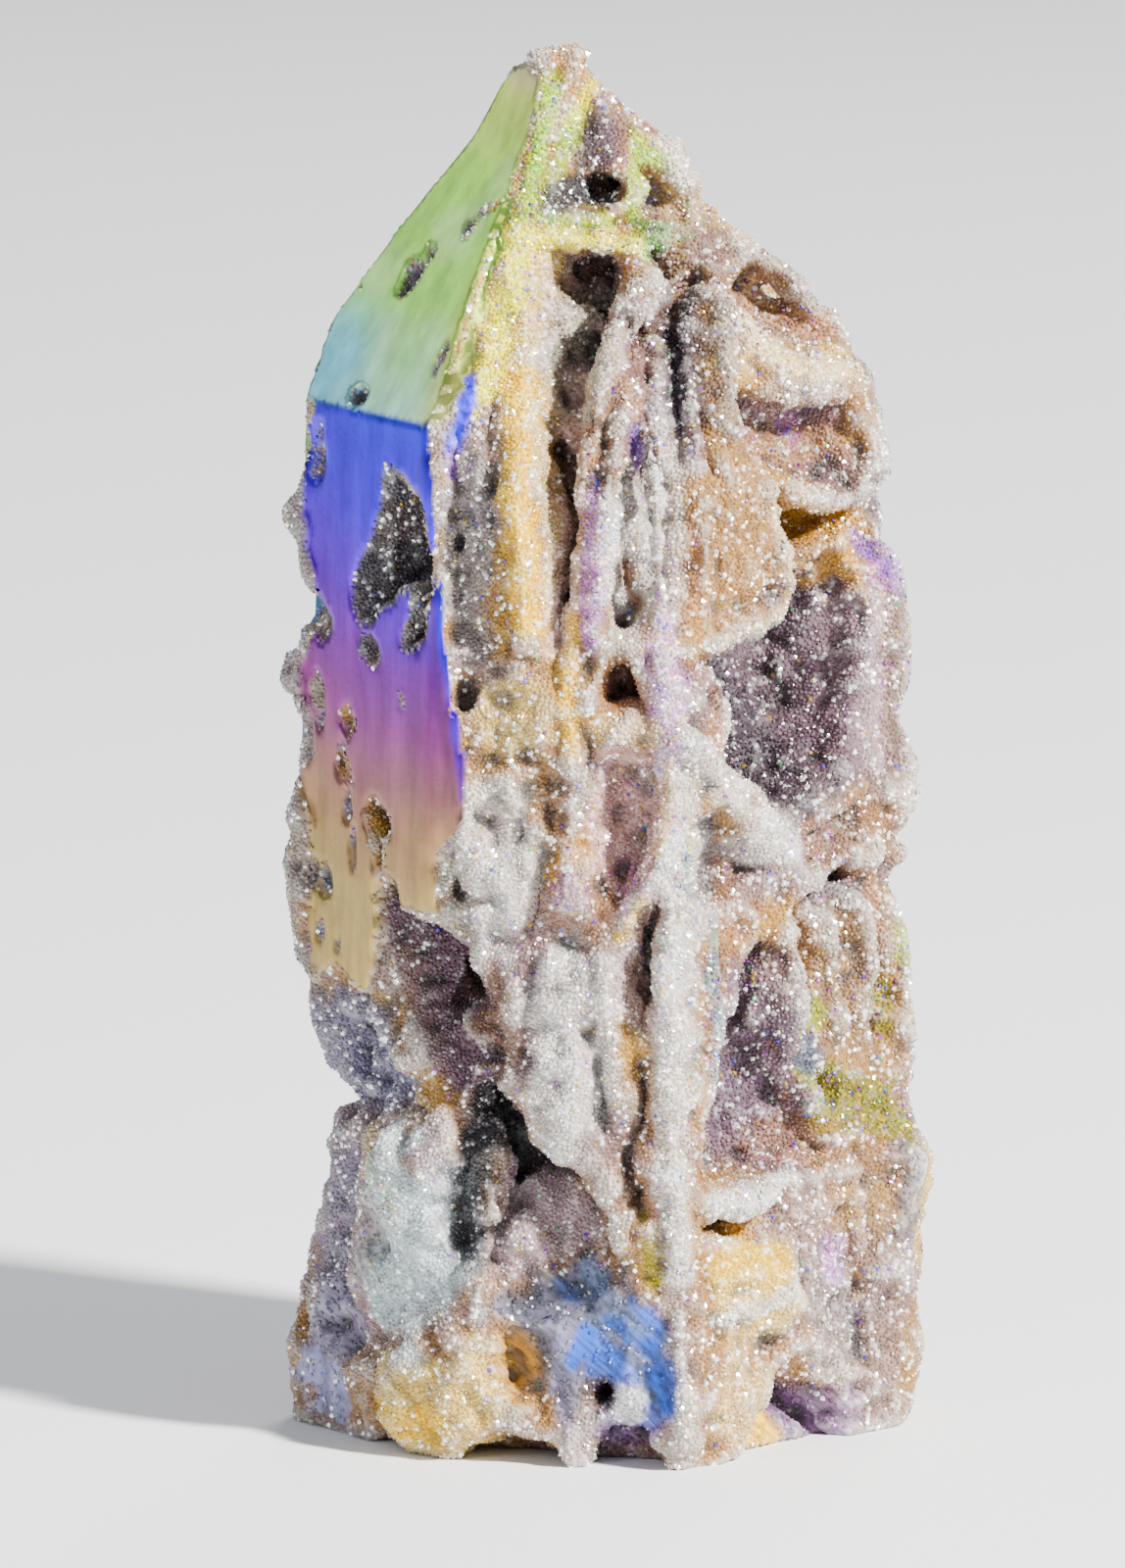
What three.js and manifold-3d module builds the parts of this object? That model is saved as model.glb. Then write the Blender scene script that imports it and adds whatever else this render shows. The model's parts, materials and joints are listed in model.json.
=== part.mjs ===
// Sphalerite tower: a six-sided point of banded stone, 110 mm tall, standing on its sawn base.
// Polished facets on the left and the back, crusted hollows, clefts and thin walls everywhere else.
// Millimetres, +Z up, origin on the base plane under the axis of the tower. The front faces -Y.
import * as THREE from "three";
import { mergeVertices } from "three/addons/utils/BufferGeometryUtils.js";
import Module from "manifold-3d";

const wasm = await Module();
wasm.setup();

// Overall size of the stone.
const TIP_HEIGHT = 110;
const AXIS_AT_TIP = { x: -0.9, y: 0 };
const REACH = 60;

// Sawn facets. turn: degrees from the front towards the right. slope: degrees the outward normal
// rises above the horizon. out: distance from the axis, in mm, at the height "at".
const FACETS = {
  middle: { turn: -10, slope: 1.2, out: 21.4, at: 0 },
  right: { turn: 46, slope: 2.4, out: 22.0, at: 0 },
  backRight: { turn: 108, slope: 2.5, out: 26.2, at: 0 },
  back: { turn: 172, slope: 2.2, out: 21.5, at: 0 },
  backLeft: { turn: -124, slope: 1.4, out: 20.0, at: 0 },
  left: { turn: -57, slope: 0.8, out: 20.5, at: 0 },
  leftEdge: { turn: -33, slope: -0.6, out: 20.5, at: 0 },
  middleTop: { turn: -6, slope: 33, out: 18.4, at: 82 },
  rightTop: { turn: 46, slope: 38, out: 19.0, at: 85 },
  backRightTop: { turn: 108, slope: 43, out: 22.4, at: 86 },
  backTop: { turn: 172, slope: 36, out: 19.0, at: 84 },
  backLeftTop: { turn: -124, slope: 35, out: 21.2, at: 84 },
  leftTop: { turn: -56, slope: 34.3, out: 19.6, at: 82.5 },
};

// Facets where the druse was left bare instead of being ground flat.
const ROUGH_FACETS = ["middle", "middleTop", "right", "rightTop", "backRight", "backRightTop"];

// The rough skin: rings up the stone, and columns between the corners of the base, in degrees.
const RING_STEP = 5.2;
const CORNER_TURNS = [-90.5, -30.7, 19.5, 85.2, 131, 200.8, 269.5];
const COLUMNS_BETWEEN = [6, 6, 7, 5, 6, 6];
const SKIN_STANDS_OUT = 1.2;
const SKIN_LIES_IN = 0.25;
const SKIN_LUMPS = 1.15;

// Hollows in mm: usual straight run of a rim, how far a rim wanders, spacing of the points of a
// floor and how far a floor rises and sinks.
const RIM_STEP = 7;
const RIM_WANDER = 0.3;
const FLOOR_CELL = 6.5;
const FLOOR_LUMPS = 0.7;

// Walls of the hollows: how far they lean in for each mm of depth, the most that a hollow narrows
// on its way to its floor, and how far its shaft runs past floor and surface, in mm.
const WALL_LEAN = 0.35;
const MOST_NARROWING = 0.45;
const SHAFT_REACH = 6;

// Hollows. side: facet they are seen square to. facet: facet their floor runs along.
// outline: points [across, height] in mm on that side, anticlockwise or clockwise.
// depth: mm under the facet. tiltAcross and tiltUp: mm of extra depth per mm to the right, upwards.
const HOLLOWS = [
  // Middle side, the point: small window, sparkling panel above it, wide window and the slot between.
  { side: "middle", facet: "middleTop", depth: 6.5, outline: [
    [-0.4, 101.1], [2, 101.4], [4, 101.5], [4.1, 99.8], [3.3, 98.9], [2.1, 98.7], [0.6, 99.5]] },
  { side: "middle", facet: "middleTop", depth: 2.2, outline: [
    [0.3, 106.2], [1.7, 106.6], [4.2, 104.6], [4, 101.3], [-0.4, 101], [-1.2, 101.8], [-0.5, 104]] },
  { side: "middle", facet: "middleTop", depth: 8, tiltUp: 0.25, outline: [
    [-1.9, 96.2], [5, 96.3], [4.9, 93.6], [4.2, 91.8], [4.1, 90], [3.5, 88.8], [2.3, 90.5], [-0.9, 91],
    [-2.2, 93]] },
  { side: "middle", facet: "middleTop", depth: 4.5, outline: [
    [-0.8, 91.6], [3.9, 91.4], [3.9, 87.5], [2.9, 81], [1, 78.5], [-0.8, 80.5], [-1.4, 85]] },
  { side: "middle", facet: "middleTop", depth: 1.2, outline: [
    [1.4, 98], [6.6, 97.6], [6.6, 97.1], [1.4, 97.5]] },
  // Middle side, the strip between the polished edge and the golden column.
  { side: "middle", facet: "middle", depth: 2.6, outline: [
    [-8.4, 85.6], [-6.2, 85.4], [-5.2, 80], [-5, 71], [-4.8, 64.6], [-6.2, 57.6], [-7.3, 64], [-7.8, 70],
    [-8.2, 76]] },
  // Middle side, the long cleft between the golden column and the thin wall.
  { side: "middle", facet: "middle", depth: 11, outline: [
    [-1.4, 86.5], [0.4, 82.8], [2.6, 79.6], [2.5, 77], [3.2, 74], [2.6, 72], [2.2, 69], [1.8, 66], [1.2, 64],
    [0.6, 68], [1.4, 73.2], [1.2, 75], [0.1, 77], [-0.2, 79.8], [-1.3, 82]] },
  { side: "middle", facet: "middle", depth: 3.6, outline: [
    [0.8, 65], [1.6, 64], [1.7, 60], [2.9, 54.6], [1.9, 54.2], [0.7, 60]] },
  // Middle side, the slim hollow between the thin wall and the front edge.
  { side: "middle", facet: "middle", depth: 4.2, tiltAcross: -0.15, outline: [
    [6.7, 85], [7.7, 81], [8.7, 76], [8.9, 70], [8.4, 66], [6.4, 65.6], [4.7, 66.2], [4.7, 71], [5.3, 77]] },
  { side: "middle", facet: "middle", depth: 7, outline: [
    [5.9, 72], [6.5, 70.4], [6.4, 68.8], [5.6, 68.4], [5.1, 69.4], [5.4, 71]] },
  // Middle side, pointed window, crossbar and the long panel under it.
  { side: "middle", facet: "middle", depth: 7, outline: [
    [4.1, 60.4], [4, 62.5], [4.9, 63.2], [6.1, 65.2], [7, 64.1], [8.1, 63.2], [8.3, 61.8], [9.8, 60.2]] },
  { side: "middle", facet: "middle", depth: 1.6, outline: [
    [3.9, 60.6], [10.1, 60.4], [10.1, 57.6], [3.9, 57.8]] },
  { side: "middle", facet: "middle", depth: 5.5, tiltUp: 0.07, outline: [
    [3.9, 58.1], [10, 57.8], [10, 52.4], [8.4, 48], [7.4, 45.8], [6.1, 43.6], [4.9, 47], [4.2, 52.5]] },
  { side: "middle", facet: "middle", depth: 8.5, outline: [
    [9.9, 49.2], [8.6, 46], [7.2, 43.4], [6.2, 39.4], [7.1, 36.2], [7.9, 35], [9.6, 38.2], [9.4, 43]] },
  { side: "middle", facet: "middle", depth: 4.6, outline: [
    [7.3, 31.8], [8.2, 31.8], [9.3, 29.2], [7.4, 25], [7.4, 23], [8.8, 21.6], [7.7, 20.6], [6.1, 22.6],
    [6.2, 25], [8, 29]] },
  // Middle side, dark notches in the bright druse.
  { side: "middle", facet: "middle", depth: 4, outline: [
    [0, 54.3], [0.6, 53.8], [0.8, 52], [1.9, 50.6], [0.1, 50.2]] },
  { side: "middle", facet: "middle", depth: 3.6, outline: [
    [-8.4, 48.4], [-6.8, 48], [-5.6, 46.2], [-3.8, 44.6], [-5.6, 43.8], [-8.4, 44.6]] },
  { side: "middle", facet: "middle", depth: 2.2, outline: [
    [-6.2, 53.2], [-1.6, 53.6], [-0.4, 50], [-2.8, 47.4], [-5.6, 49.6]] },
  { side: "middle", facet: "middle", depth: 2, outline: [
    [1, 43], [4.6, 42], [5.4, 38], [3.4, 36.2], [0.4, 38]] },
  // Middle side, the bridge that lies back between the two dark hollows.
  { side: "middle", facet: "middle", depth: 4.2, outline: [
    [-9.4, 42], [-7.4, 42.6], [-5.8, 41.2], [-4.8, 39.4], [-2.6, 36.2], [-2.2, 33.8], [-2.1, 30], [-5.8, 31],
    [-9.4, 30.4]] },
  // Middle side, the big cave, the shelf under it and the worn ground below.
  { side: "middle", facet: "middle", depth: 13, tiltAcross: -0.35, outline: [
    [-5.8, 31.5], [-4, 30.6], [-2, 29.9], [-0.9, 27.4], [0.4, 25.5], [1.8, 24.2], [3.4, 24.5], [4.7, 23.4],
    [3.6, 22], [2.3, 20.7], [0, 21.4], [-2.2, 21], [-4.1, 19], [-5.2, 17.1], [-6.9, 18], [-8.4, 19.6],
    [-8.4, 23.4], [-6.6, 26.6], [-7.6, 28.8], [-7.4, 30.2]] },
  { side: "middle", facet: "middle", depth: 4.4, tiltUp: 0.3, outline: [
    [-4.4, 24.2], [0, 24.8], [4.8, 23.2], [6.6, 20], [6.4, 15], [3, 11.8], [-2, 11], [-5, 12.6],
    [-5.6, 17.6]] },
  { side: "middle", facet: "middle", depth: 5.4, outline: [
    [3.6, 5.2], [4.1, 6.6], [5.8, 7.7], [6.1, 6], [5.8, 5], [4.6, 4.5]] },
  { side: "middle", facet: "middle", depth: 3.2, outline: [
    [-4.1, 9.4], [-3.9, 11], [-2.6, 10.8], [-1.2, 9], [-0.5, 6.8], [-0.6, 4.8], [-2.6, 4.4], [-3.7, 6.4]] },
  { side: "middle", facet: "middle", depth: 1.8, outline: [
    [-4.4, 11.4], [0.6, 11], [2.2, 7], [3, 2.4], [-0.4, 3], [-1, 6.6], [-2, 9.6]] },
  // Corner between the left and the middle side: the hollow above the bridge.
  { side: "leftEdge", facet: "leftEdge", depth: 5.6, outline: [
    [-8, 45.8], [-6, 44.4], [-3.4, 43.6], [-0.8, 43.9], [0.8, 42], [2.6, 40.4], [3, 38], [1.2, 36],
    [-0.6, 33.4], [-3, 32.6], [-6, 33.2], [-8.2, 35], [-8.6, 39]] },
  { side: "leftEdge", facet: "leftEdge", depth: 11, outline: [
    [-4, 41], [-1.4, 40.6], [1.2, 39.4], [1.6, 37.2], [-0.2, 35], [-2, 33.8], [-3.6, 35], [-4.6, 38]] },
  // Left side, the dark vug with its polished island, and smaller hollows.
  { side: "left", facet: "left", depth: 6.4, outline: [
    [1.1, 79.6], [2.8, 78.7], [4.5, 77.9], [5.8, 76.9], [6.4, 75.4], [6.2, 74], [7.6, 71.6], [7.4, 69.6],
    [6.5, 66.2], [5, 64.2], [3.8, 64.4], [3.1, 65.5], [4.2, 66.5], [5.1, 68.9], [4.2, 69.4], [2.9, 69],
    [2, 68.1], [0, 67.2], [-2.3, 65.2], [-4.2, 67.4], [-4.1, 69], [-2.1, 71.7], [-0.2, 74.9], [0.4, 78.2]] },
  { side: "left", facet: "left", depth: 1.2, outline: [
    [-2.5, 65.7], [-1.2, 65.2], [0.8, 63.4], [0.2, 62.4], [-1.8, 62.9], [-3.2, 64.3]] },
  { side: "left", facet: "left", depth: 4, outline: [
    [-2.2, 51.7], [-0.5, 52.1], [2.3, 50.2], [0.9, 48], [1, 45.4], [-0.1, 45.4], [-0.6, 48.4], [-1.8, 50]] },
  { side: "left", facet: "left", depth: 1.6, outline: [
    [-10.8, 81.6], [-9.6, 81.2], [-9.4, 79.2], [-10.2, 78.4], [-10.9, 79.6]] },
  { side: "left", facet: "left", depth: 1.9, outline: [
    [-15, 68.4], [-9.8, 67.6], [-6.4, 65.2], [-8, 64], [-10.4, 64.8], [-15, 64.4]] },
  { side: "left", facet: "left", depth: 1.2, outline: [
    [-10.8, 63.6], [-9.8, 63.2], [-8, 58.4], [-8.8, 57.8], [-10.2, 59.6]] },
  { side: "left", facet: "left", depth: 1.2, outline: [
    [-5.6, 59.8], [-4.2, 59], [-3.2, 57], [-4, 56.4], [-5.4, 57.8]] },
  { side: "left", facet: "left", depth: 1.3, outline: [
    [-6.4, 55.6], [-4.8, 55.2], [-3.1, 52.4], [-3.5, 51.4], [-6.4, 54.2]] },
  { side: "left", facet: "left", depth: 1.6, outline: [
    [-11.6, 46.6], [-9.6, 46.8], [-8.8, 45], [-9.8, 43.6], [-11.4, 44.2]] },
  // Left side below the polish: one large broken area that runs to the base.
  { side: "left", facet: "left", depth: 2.2, outline: [
    [-16, 40], [-12.4, 38.6], [-11, 36.4], [-9, 36], [-5.6, 38], [-4, 37], [-1.6, 36], [-0.4, 37],
    [0.2, 45.6], [2.2, 46.2], [3.2, 44], [6.2, 41.6], [7.8, 43.4], [8.9, 46.4],
    [8.1, 48.6], [9.6, 51], [14, 52.5], [14, 9], [3, 7.4], [-2, 5.8], [-7, 7], [-10.2, 6.2], [-16, 9]] },
  { side: "left", facet: "left", depth: 4.6, tiltAcross: -0.15, outline: [
    [-9, 34.4], [-3, 34], [2, 30.6], [6, 29.6], [6, 27.4], [1, 27.4], [-5, 27], [-10, 28]] },
  // Right side, the point: groove behind the front edge, step beside the tip and sunken panel.
  { side: "right", facet: "rightTop", depth: 5, outline: [
    [1.4, 97.6], [4.1, 97.2], [4.2, 95.4], [1.5, 93.4], [-0.7, 91.6], [-4, 88.6], [-7.2, 83.4], [-9.6, 83.6],
    [-9, 86.8], [-6.1, 90.6], [-0.8, 95]] },
  { side: "right", facet: "rightTop", depth: 2.8, outline: [
    [0.4, 104], [3, 102.6], [6.6, 98], [4.1, 96.8], [1.2, 97.4]] },
  { side: "right", facet: "rightTop", depth: 3.2, outline: [
    [6, 96.4], [8.6, 94.6], [15, 87.2], [13, 86.6], [8, 87.6], [4.6, 89.2], [3.8, 91.6]] },
  { side: "right", facet: "right", depth: 3.6, tiltAcross: -0.1, outline: [
    [-9.4, 85], [-6.4, 85.4], [-6, 78], [-6.6, 70], [-8.6, 66], [-9.6, 74]] },
  { side: "right", facet: "right", depth: 4.4, tiltUp: 0.14, outline: [
    [-1.2, 85.4], [3, 84.7], [7.6, 83.8], [13.2, 83.3], [13.6, 79], [12.6, 75], [8, 75.6], [3.6, 77],
    [1.6, 78], [-0.4, 80.6]] },
  { side: "right", facet: "right", depth: 7, outline: [
    [1.7, 77.6], [3.5, 77.1], [8, 75.3], [12.6, 74.8], [13, 73.2], [8.5, 71.2], [6, 70.4],
    [4.1, 70.1], [4.9, 72.2], [2.3, 76]] },
  { side: "right", facet: "right", depth: 1.8, outline: [
    [-5.2, 82.4], [-4.2, 82.2], [-4.2, 80], [-5.2, 80.2]] },
  // Right side, the wide dark pocket, its step and the rim at the right corner.
  { side: "right", facet: "right", depth: 8.4, tiltUp: 0.12, tiltAcross: -0.06, outline: [
    [2.9, 66.8], [3.6, 69.6], [6.3, 70.4], [7.8, 71.5], [10.2, 72], [11.6, 71.4], [12, 68], [11.6, 62],
    [11.3, 57.6], [9.6, 53.7], [7.2, 51.8], [4.7, 50.8], [2.5, 50.8], [0.6, 51], [-0.5, 52.7], [-2.3, 53.9],
    [-3.9, 54.4], [-4.9, 56.4], [-4, 60.5], [-3.9, 62.1], [-5.4, 62.9], [-6.1, 64], [-3.9, 66.1],
    [0.5, 66.2]] },
  { side: "right", facet: "right", depth: 1.8, outline: [
    [12.2, 73], [19, 73], [19, 70.6], [13, 70]] },
  { side: "right", facet: "right", depth: 1.6, outline: [
    [13, 51], [19, 50.6], [19, 45], [14, 45.6]] },
  // Right side, the broken middle.
  { side: "right", facet: "right", depth: 3.4, outline: [
    [-8.2, 52.6], [-3.4, 51.6], [-0.8, 49.4], [0.6, 46], [-2.6, 44.2], [-6.4, 43.4], [-8.4, 46]] },
  { side: "right", facet: "right", depth: 2.4, outline: [
    [3.6, 49], [8, 50.2], [12, 51.6], [11.6, 47.4], [8, 46.6], [4.6, 45.4]] },
  { side: "right", facet: "right", depth: 5, outline: [
    [4.6, 43.6], [6.6, 45], [9.6, 46], [12, 46.2], [11.6, 44.4], [6.4, 42.8]] },
  { side: "right", facet: "right", depth: 6.4, outline: [
    [3.8, 42.4], [5.4, 43], [6.3, 42.2], [6, 41], [4.6, 40.8], [3.8, 41.4]] },
  { side: "right", facet: "right", depth: 5.4, outline: [
    [4.8, 39.6], [6.2, 39.9], [6.3, 38.4], [5.6, 36.6], [4.6, 36.8]] },
  { side: "right", facet: "right", depth: 4, outline: [
    [7.8, 41.6], [8.9, 41.8], [9, 36], [8.4, 32], [7.4, 32.4]] },
  { side: "right", facet: "right", depth: 3.6, outline: [
    [11.8, 43.6], [13, 43.4], [13.4, 36], [13.2, 29.4], [12.2, 29.2]] },
  { side: "right", facet: "right", depth: 5.4, tiltUp: 0.1, tiltAcross: -0.16, outline: [
    [1.6, 42.3], [-0.3, 41.4], [-3, 37.4], [-6.2, 35.4], [-6.9, 32.3], [-7.8, 27], [-7.9, 23.4], [-5, 22],
    [0, 21.6], [7, 22.6], [6.4, 26], [4, 29.6], [0.9, 34.8], [1.2, 38]] },
  { side: "right", facet: "right", depth: 2.2, outline: [
    [6, 29.8], [9, 30.6], [8.4, 26.6], [5.8, 26.8]] },
  // Right side, under the overhanging ledge, the worn patch beside the lump and the arch at the base.
  { side: "right", facet: "right", depth: 5.4, outline: [
    [-8.3, 19.4], [-5.6, 19.8], [-3.5, 19.5], [-0.8, 20.1], [-0.4, 18.9], [-3.6, 17.7], [-8.6, 17.6]] },
  { side: "right", facet: "right", depth: 2.2, tiltAcross: 0.1, outline: [
    [4.6, 19], [9.6, 20], [11.4, 13], [10.6, 6], [6, 7.4], [3.6, 9.4]] },
  { side: "right", facet: "right", depth: 4.8, tiltUp: 0.35, outline: [
    [0.7, 7.7], [1.8, 6.9], [4.4, 6.5], [6.2, 4.5], [9.2, -1], [-6, -1], [-3.8, 2.2], [-1.2, 4.1],
    [0, 6.4]] },
  // Right rear side.
  { side: "backRight", facet: "backRight", depth: 5.6, outline: [
    [-7, 78], [-1, 80], [2.4, 72], [0.4, 63], [-5.4, 61], [-8.6, 69]] },
  { side: "backRight", facet: "backRight", depth: 4.2, tiltAcross: 0.1, outline: [
    [3.4, 58], [7.6, 60], [10, 53], [6.6, 41], [2.6, 46]] },
  { side: "backRight", facet: "backRight", depth: 6, outline: [
    [-9, 49], [-3.6, 52], [-1.2, 43], [-4, 33], [-8.6, 36]] },
  { side: "backRight", facet: "backRight", depth: 4.6, outline: [
    [0, 31], [5, 35], [9, 28], [7.4, 17], [1, 17]] },
  { side: "backRight", facet: "backRightTop", depth: 3, outline: [
    [-4, 98], [1.6, 98.6], [4, 91], [-1, 88.6], [-5, 91]] },
  // Back side.
  { side: "back", facet: "back", depth: 7, outline: [
    [-11, 65], [-6, 70], [-0.6, 64], [-1.4, 54], [-6, 46.4], [-11.6, 51]] },
  { side: "back", facet: "back", depth: 4.2, outline: [
    [4, 80], [8, 77], [7.4, 67], [3.4, 65], [2.2, 73]] },
  { side: "back", facet: "back", depth: 5.6, outline: [
    [1.6, 43], [7.6, 46], [11.4, 36], [8.4, 24], [2, 24], [0, 34]] },
  { side: "back", facet: "back", depth: 3.8, outline: [
    [-11, 29], [-6, 31], [-5, 21], [-9, 16], [-12.4, 21]] },
  // Left rear side.
  { side: "backLeft", facet: "backLeft", depth: 5, outline: [
    [-2.2, 74], [1.8, 75], [3, 66], [-0.6, 60.6], [-4, 67]] },
  { side: "backLeft", facet: "backLeft", depth: 6, outline: [
    [-10, 45], [-4.6, 49], [-1, 39], [-4, 28], [-9.6, 28]] },
  { side: "backLeft", facet: "backLeft", depth: 2.6, outline: [
    [2.4, 26], [7, 29], [12, 20], [9, 8], [3, 11]] },
];

// Pits that the polish has opened: facet, across, height, half width, half height, depth in mm.
const PITS = [
  { facet: "leftTop", across: 1.5, height: 98.6, wide: 0.8, tall: 1.2, deep: 1.2 },
  { facet: "leftTop", across: 2.1, height: 95.5, wide: 0.4, tall: 0.8, deep: 0.6 },
  { facet: "leftTop", across: -7.8, height: 95.4, wide: 0.7, tall: 0.7, deep: 0.7 },
  { facet: "leftTop", across: -10.8, height: 91.2, wide: 0.9, tall: 0.8, deep: 0.9 },
  { facet: "leftTop", across: -4.2, height: 83.6, wide: 1.1, tall: 0.9, deep: 0.9 },
  { facet: "leftTop", across: 5.2, height: 87.4, wide: 0.4, tall: 1.1, deep: 0.6 },
  { facet: "leftTop", across: -2.6, height: 106.4, wide: 0.5, tall: 0.7, deep: 0.6 },
  { facet: "backLeftTop", across: 3, height: 96, wide: 0.9, tall: 1.1, deep: 1 },
  { facet: "backLeftTop", across: -2.4, height: 91, wide: 0.7, tall: 0.6, deep: 0.7 },
  { facet: "backLeft", across: 6, height: 80, wide: 0.9, tall: 1.4, deep: 1 },
  { facet: "backLeft", across: -8, height: 58, wide: 0.9, tall: 0.8, deep: 0.9 },
  { facet: "back", across: -5, height: 79, wide: 1.1, tall: 0.9, deep: 1 },
  { facet: "back", across: 8, height: 55, wide: 0.8, tall: 1.3, deep: 1 },
  { facet: "backTop", across: -8, height: 87.5, wide: 0.9, tall: 0.7, deep: 0.8 },
];

// Lumps grown on the stone: side, across, height, how deep under the side their middle lies,
// half width, half height and half thickness in mm.
const LUMPS = [
  { side: "middle", across: -2.8, height: 61.2, sunk: 2.4, wide: 3.2, tall: 3, thick: 2.2 },
  { side: "middle", across: 2.6, height: 47, sunk: 2.4, wide: 3, tall: 3.6, thick: 2.3 },
  { side: "middle", across: 2.4, height: 31, sunk: 2.2, wide: 3.4, tall: 6, thick: 2.2 },
  { side: "middle", across: -5, height: 34.6, sunk: 3.6, wide: 3.6, tall: 1.9, thick: 2 },
  { side: "middle", across: -1.4, height: 17.4, sunk: 4.4, wide: 2.6, tall: 2.2, thick: 1.8 },
  { side: "middle", across: -6, height: 4.4, sunk: 2, wide: 3.2, tall: 3.8, thick: 2.4 },
  { side: "middle", across: -1.4, height: 72, sunk: 1.5, wide: 1.3, tall: 11, thick: 1.6 },
  { side: "left", across: 4.4, height: 20.6, sunk: 4.2, wide: 6.4, tall: 8, thick: 4.2 },
  { side: "left", across: 0, height: 13, sunk: 3.8, wide: 5, tall: 5, thick: 3.6 },
  { side: "left", across: 7.6, height: 8.4, sunk: 3.2, wide: 4.4, tall: 6, thick: 3 },
  { side: "left", across: -9.6, height: 10, sunk: 2.6, wide: 2.6, tall: 3.4, thick: 2.2 },
  { side: "left", across: 4, height: 31.8, sunk: 3, wide: 4.4, tall: 1.8, thick: 2.2 },
  { side: "left", across: -12.6, height: 73.6, sunk: 0.6, wide: 1.1, tall: 1.8, thick: 1.1 },
  { side: "left", across: -12.8, height: 61, sunk: 0.4, wide: 1.2, tall: 1.9, thick: 1.1 },
  { side: "right", across: -3.4, height: 13.6, sunk: 2.8, wide: 5.6, tall: 4.4, thick: 2.9 },
  { side: "right", across: 0.8, height: 11.6, sunk: 2, wide: 3, tall: 3, thick: 2.4 },
  { side: "right", across: -5.4, height: 5.4, sunk: 2.4, wide: 3.4, tall: 5, thick: 2.5 },
  { side: "right", across: 2, height: 57, sunk: 8.4, wide: 6, tall: 1.3, thick: 2.2 },
  { side: "right", across: 15.8, height: 20, sunk: 2.4, wide: 3.6, tall: 5.4, thick: 3.2 },
  { side: "right", across: -4.4, height: 20.9, sunk: 1, wide: 4, tall: 1, thick: 1.6 },
];

// The blunt tip: centre and half sizes of the knob, in mm.
const TIP_KNOB = { centre: [-1.1, -0.5, 107.9], size: [2.4, 2.2, 2.3] };

// Lumps wider than this are rounded with more faces.
const FINE_LUMP_WIDTH = 4.3;

// Small crystals that stand out of the crust.
const CRYSTAL_COUNT = 46;
const CRYSTAL_RADIUS = [0.8, 1.3];
const CRYSTAL_HEIGHT = [0.6, 1.0];
const CRYSTAL_SUNK = 0.4;
const CRYSTAL_LEAN = 0.3;

// The pinch at the left corner and the worn right foot, seen square from the front: [x, z] in mm.
const LEFT_PINCH = [
  [-30, 37.5], [-22.8, 36.6], [-21.2, 31], [-19, 26.6], [-20, 22.6], [-20.9, 18], [-23.2, 13], [-24, 8],
  [-23.2, 0.6], [-22.4, -2], [-30, -2]];
const LEFT_PINCH_SPAN = [-9, 8];
const RIGHT_FOOT = [
  [34, 17], [29.2, 15.6], [27.6, 12], [27, 8.6], [27.2, 4.4], [25.8, 1], [24.2, -2], [34, -2]];
const RIGHT_FOOT_SPAN = [-12, 12];

// Arches that leave the stone standing on feet: their side, how far they run in and their outline.
const BASE_ARCHES = [
  { side: "middle", reachIn: 7, outline: [
    [-7.6, -1], [-5, 1.8], [-2.4, 2.6], [0.2, 2.2], [2, 1], [2.8, -1]] },
  { side: "middle", reachIn: 5, outline: [
    [3.6, -1], [4.4, 2.6], [6, 3.6], [8.4, 3.4], [9.8, 1.6], [10.6, -1]] },
  { side: "left", reachIn: 4, outline: [
    [-1.6, -1], [0.2, 1], [2.6, 1.4], [4.6, 0.6], [5.4, -1]] },
  { side: "backRight", reachIn: 5, outline: [
    [-4, -1], [-2, 2], [1.4, 2.4], [3.6, -1]] },
];

// Mean look of the stone, between its polished bands and its bare druse.
const STONE_COLOUR = "#a99a90";
const STONE_ROUGHNESS = 0.45;

// A repeatable stream of numbers between 0 and 1.
function randomStream(seed) {
  let state = seed >>> 0;
  return () => {
    state = (state + 0x6d2b79f5) >>> 0;
    let mixed = Math.imul(state ^ (state >>> 15), 1 | state);
    mixed = (mixed + Math.imul(mixed ^ (mixed >>> 7), 61 | mixed)) ^ mixed;
    return ((mixed ^ (mixed >>> 14)) >>> 0) / 4294967296;
  };
}

function between(random, low, high) {
  return low + (high - low) * random();
}

// A copy of a geometry whose faces share their corner points.
function mergeCorners(geometry) {
  const plain = geometry.clone();
  plain.deleteAttribute("normal");
  plain.deleteAttribute("uv");
  return mergeVertices(plain, 1e-5);
}

// A closed geometry as a solid that can be joined and cut.
function toSolid(geometry) {
  const merged = mergeCorners(geometry);
  return new wasm.Manifold(new wasm.Mesh({
    numProp: 3,
    vertProperties: new Float32Array(merged.attributes.position.array),
    triVerts: new Uint32Array(merged.index.array),
  }));
}

// Across, up and outward directions of a side seen square from outside.
function sideAxes(turnDegrees, slopeDegrees = 0) {
  const turn = THREE.MathUtils.degToRad(turnDegrees);
  const slope = THREE.MathUtils.degToRad(slopeDegrees);
  const across = new THREE.Vector3(Math.cos(turn), Math.sin(turn), 0);
  const level = new THREE.Vector3(Math.sin(turn), -Math.cos(turn), 0);
  const outward = level.clone().multiplyScalar(Math.cos(slope)).setZ(Math.sin(slope));
  const up = new THREE.Vector3().crossVectors(outward, across);
  return { across, up, outward, level };
}

// A matrix that stands an upright drawing (x across, y up, z outward) on a facet.
function facetMatrix(facet) {
  const axes = sideAxes(facet.turn, facet.slope);
  const origin = axes.level.clone().multiplyScalar(facet.out).setZ(facet.at);
  return new THREE.Matrix4().makeBasis(axes.across, axes.up, axes.outward).setPosition(origin);
}

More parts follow.
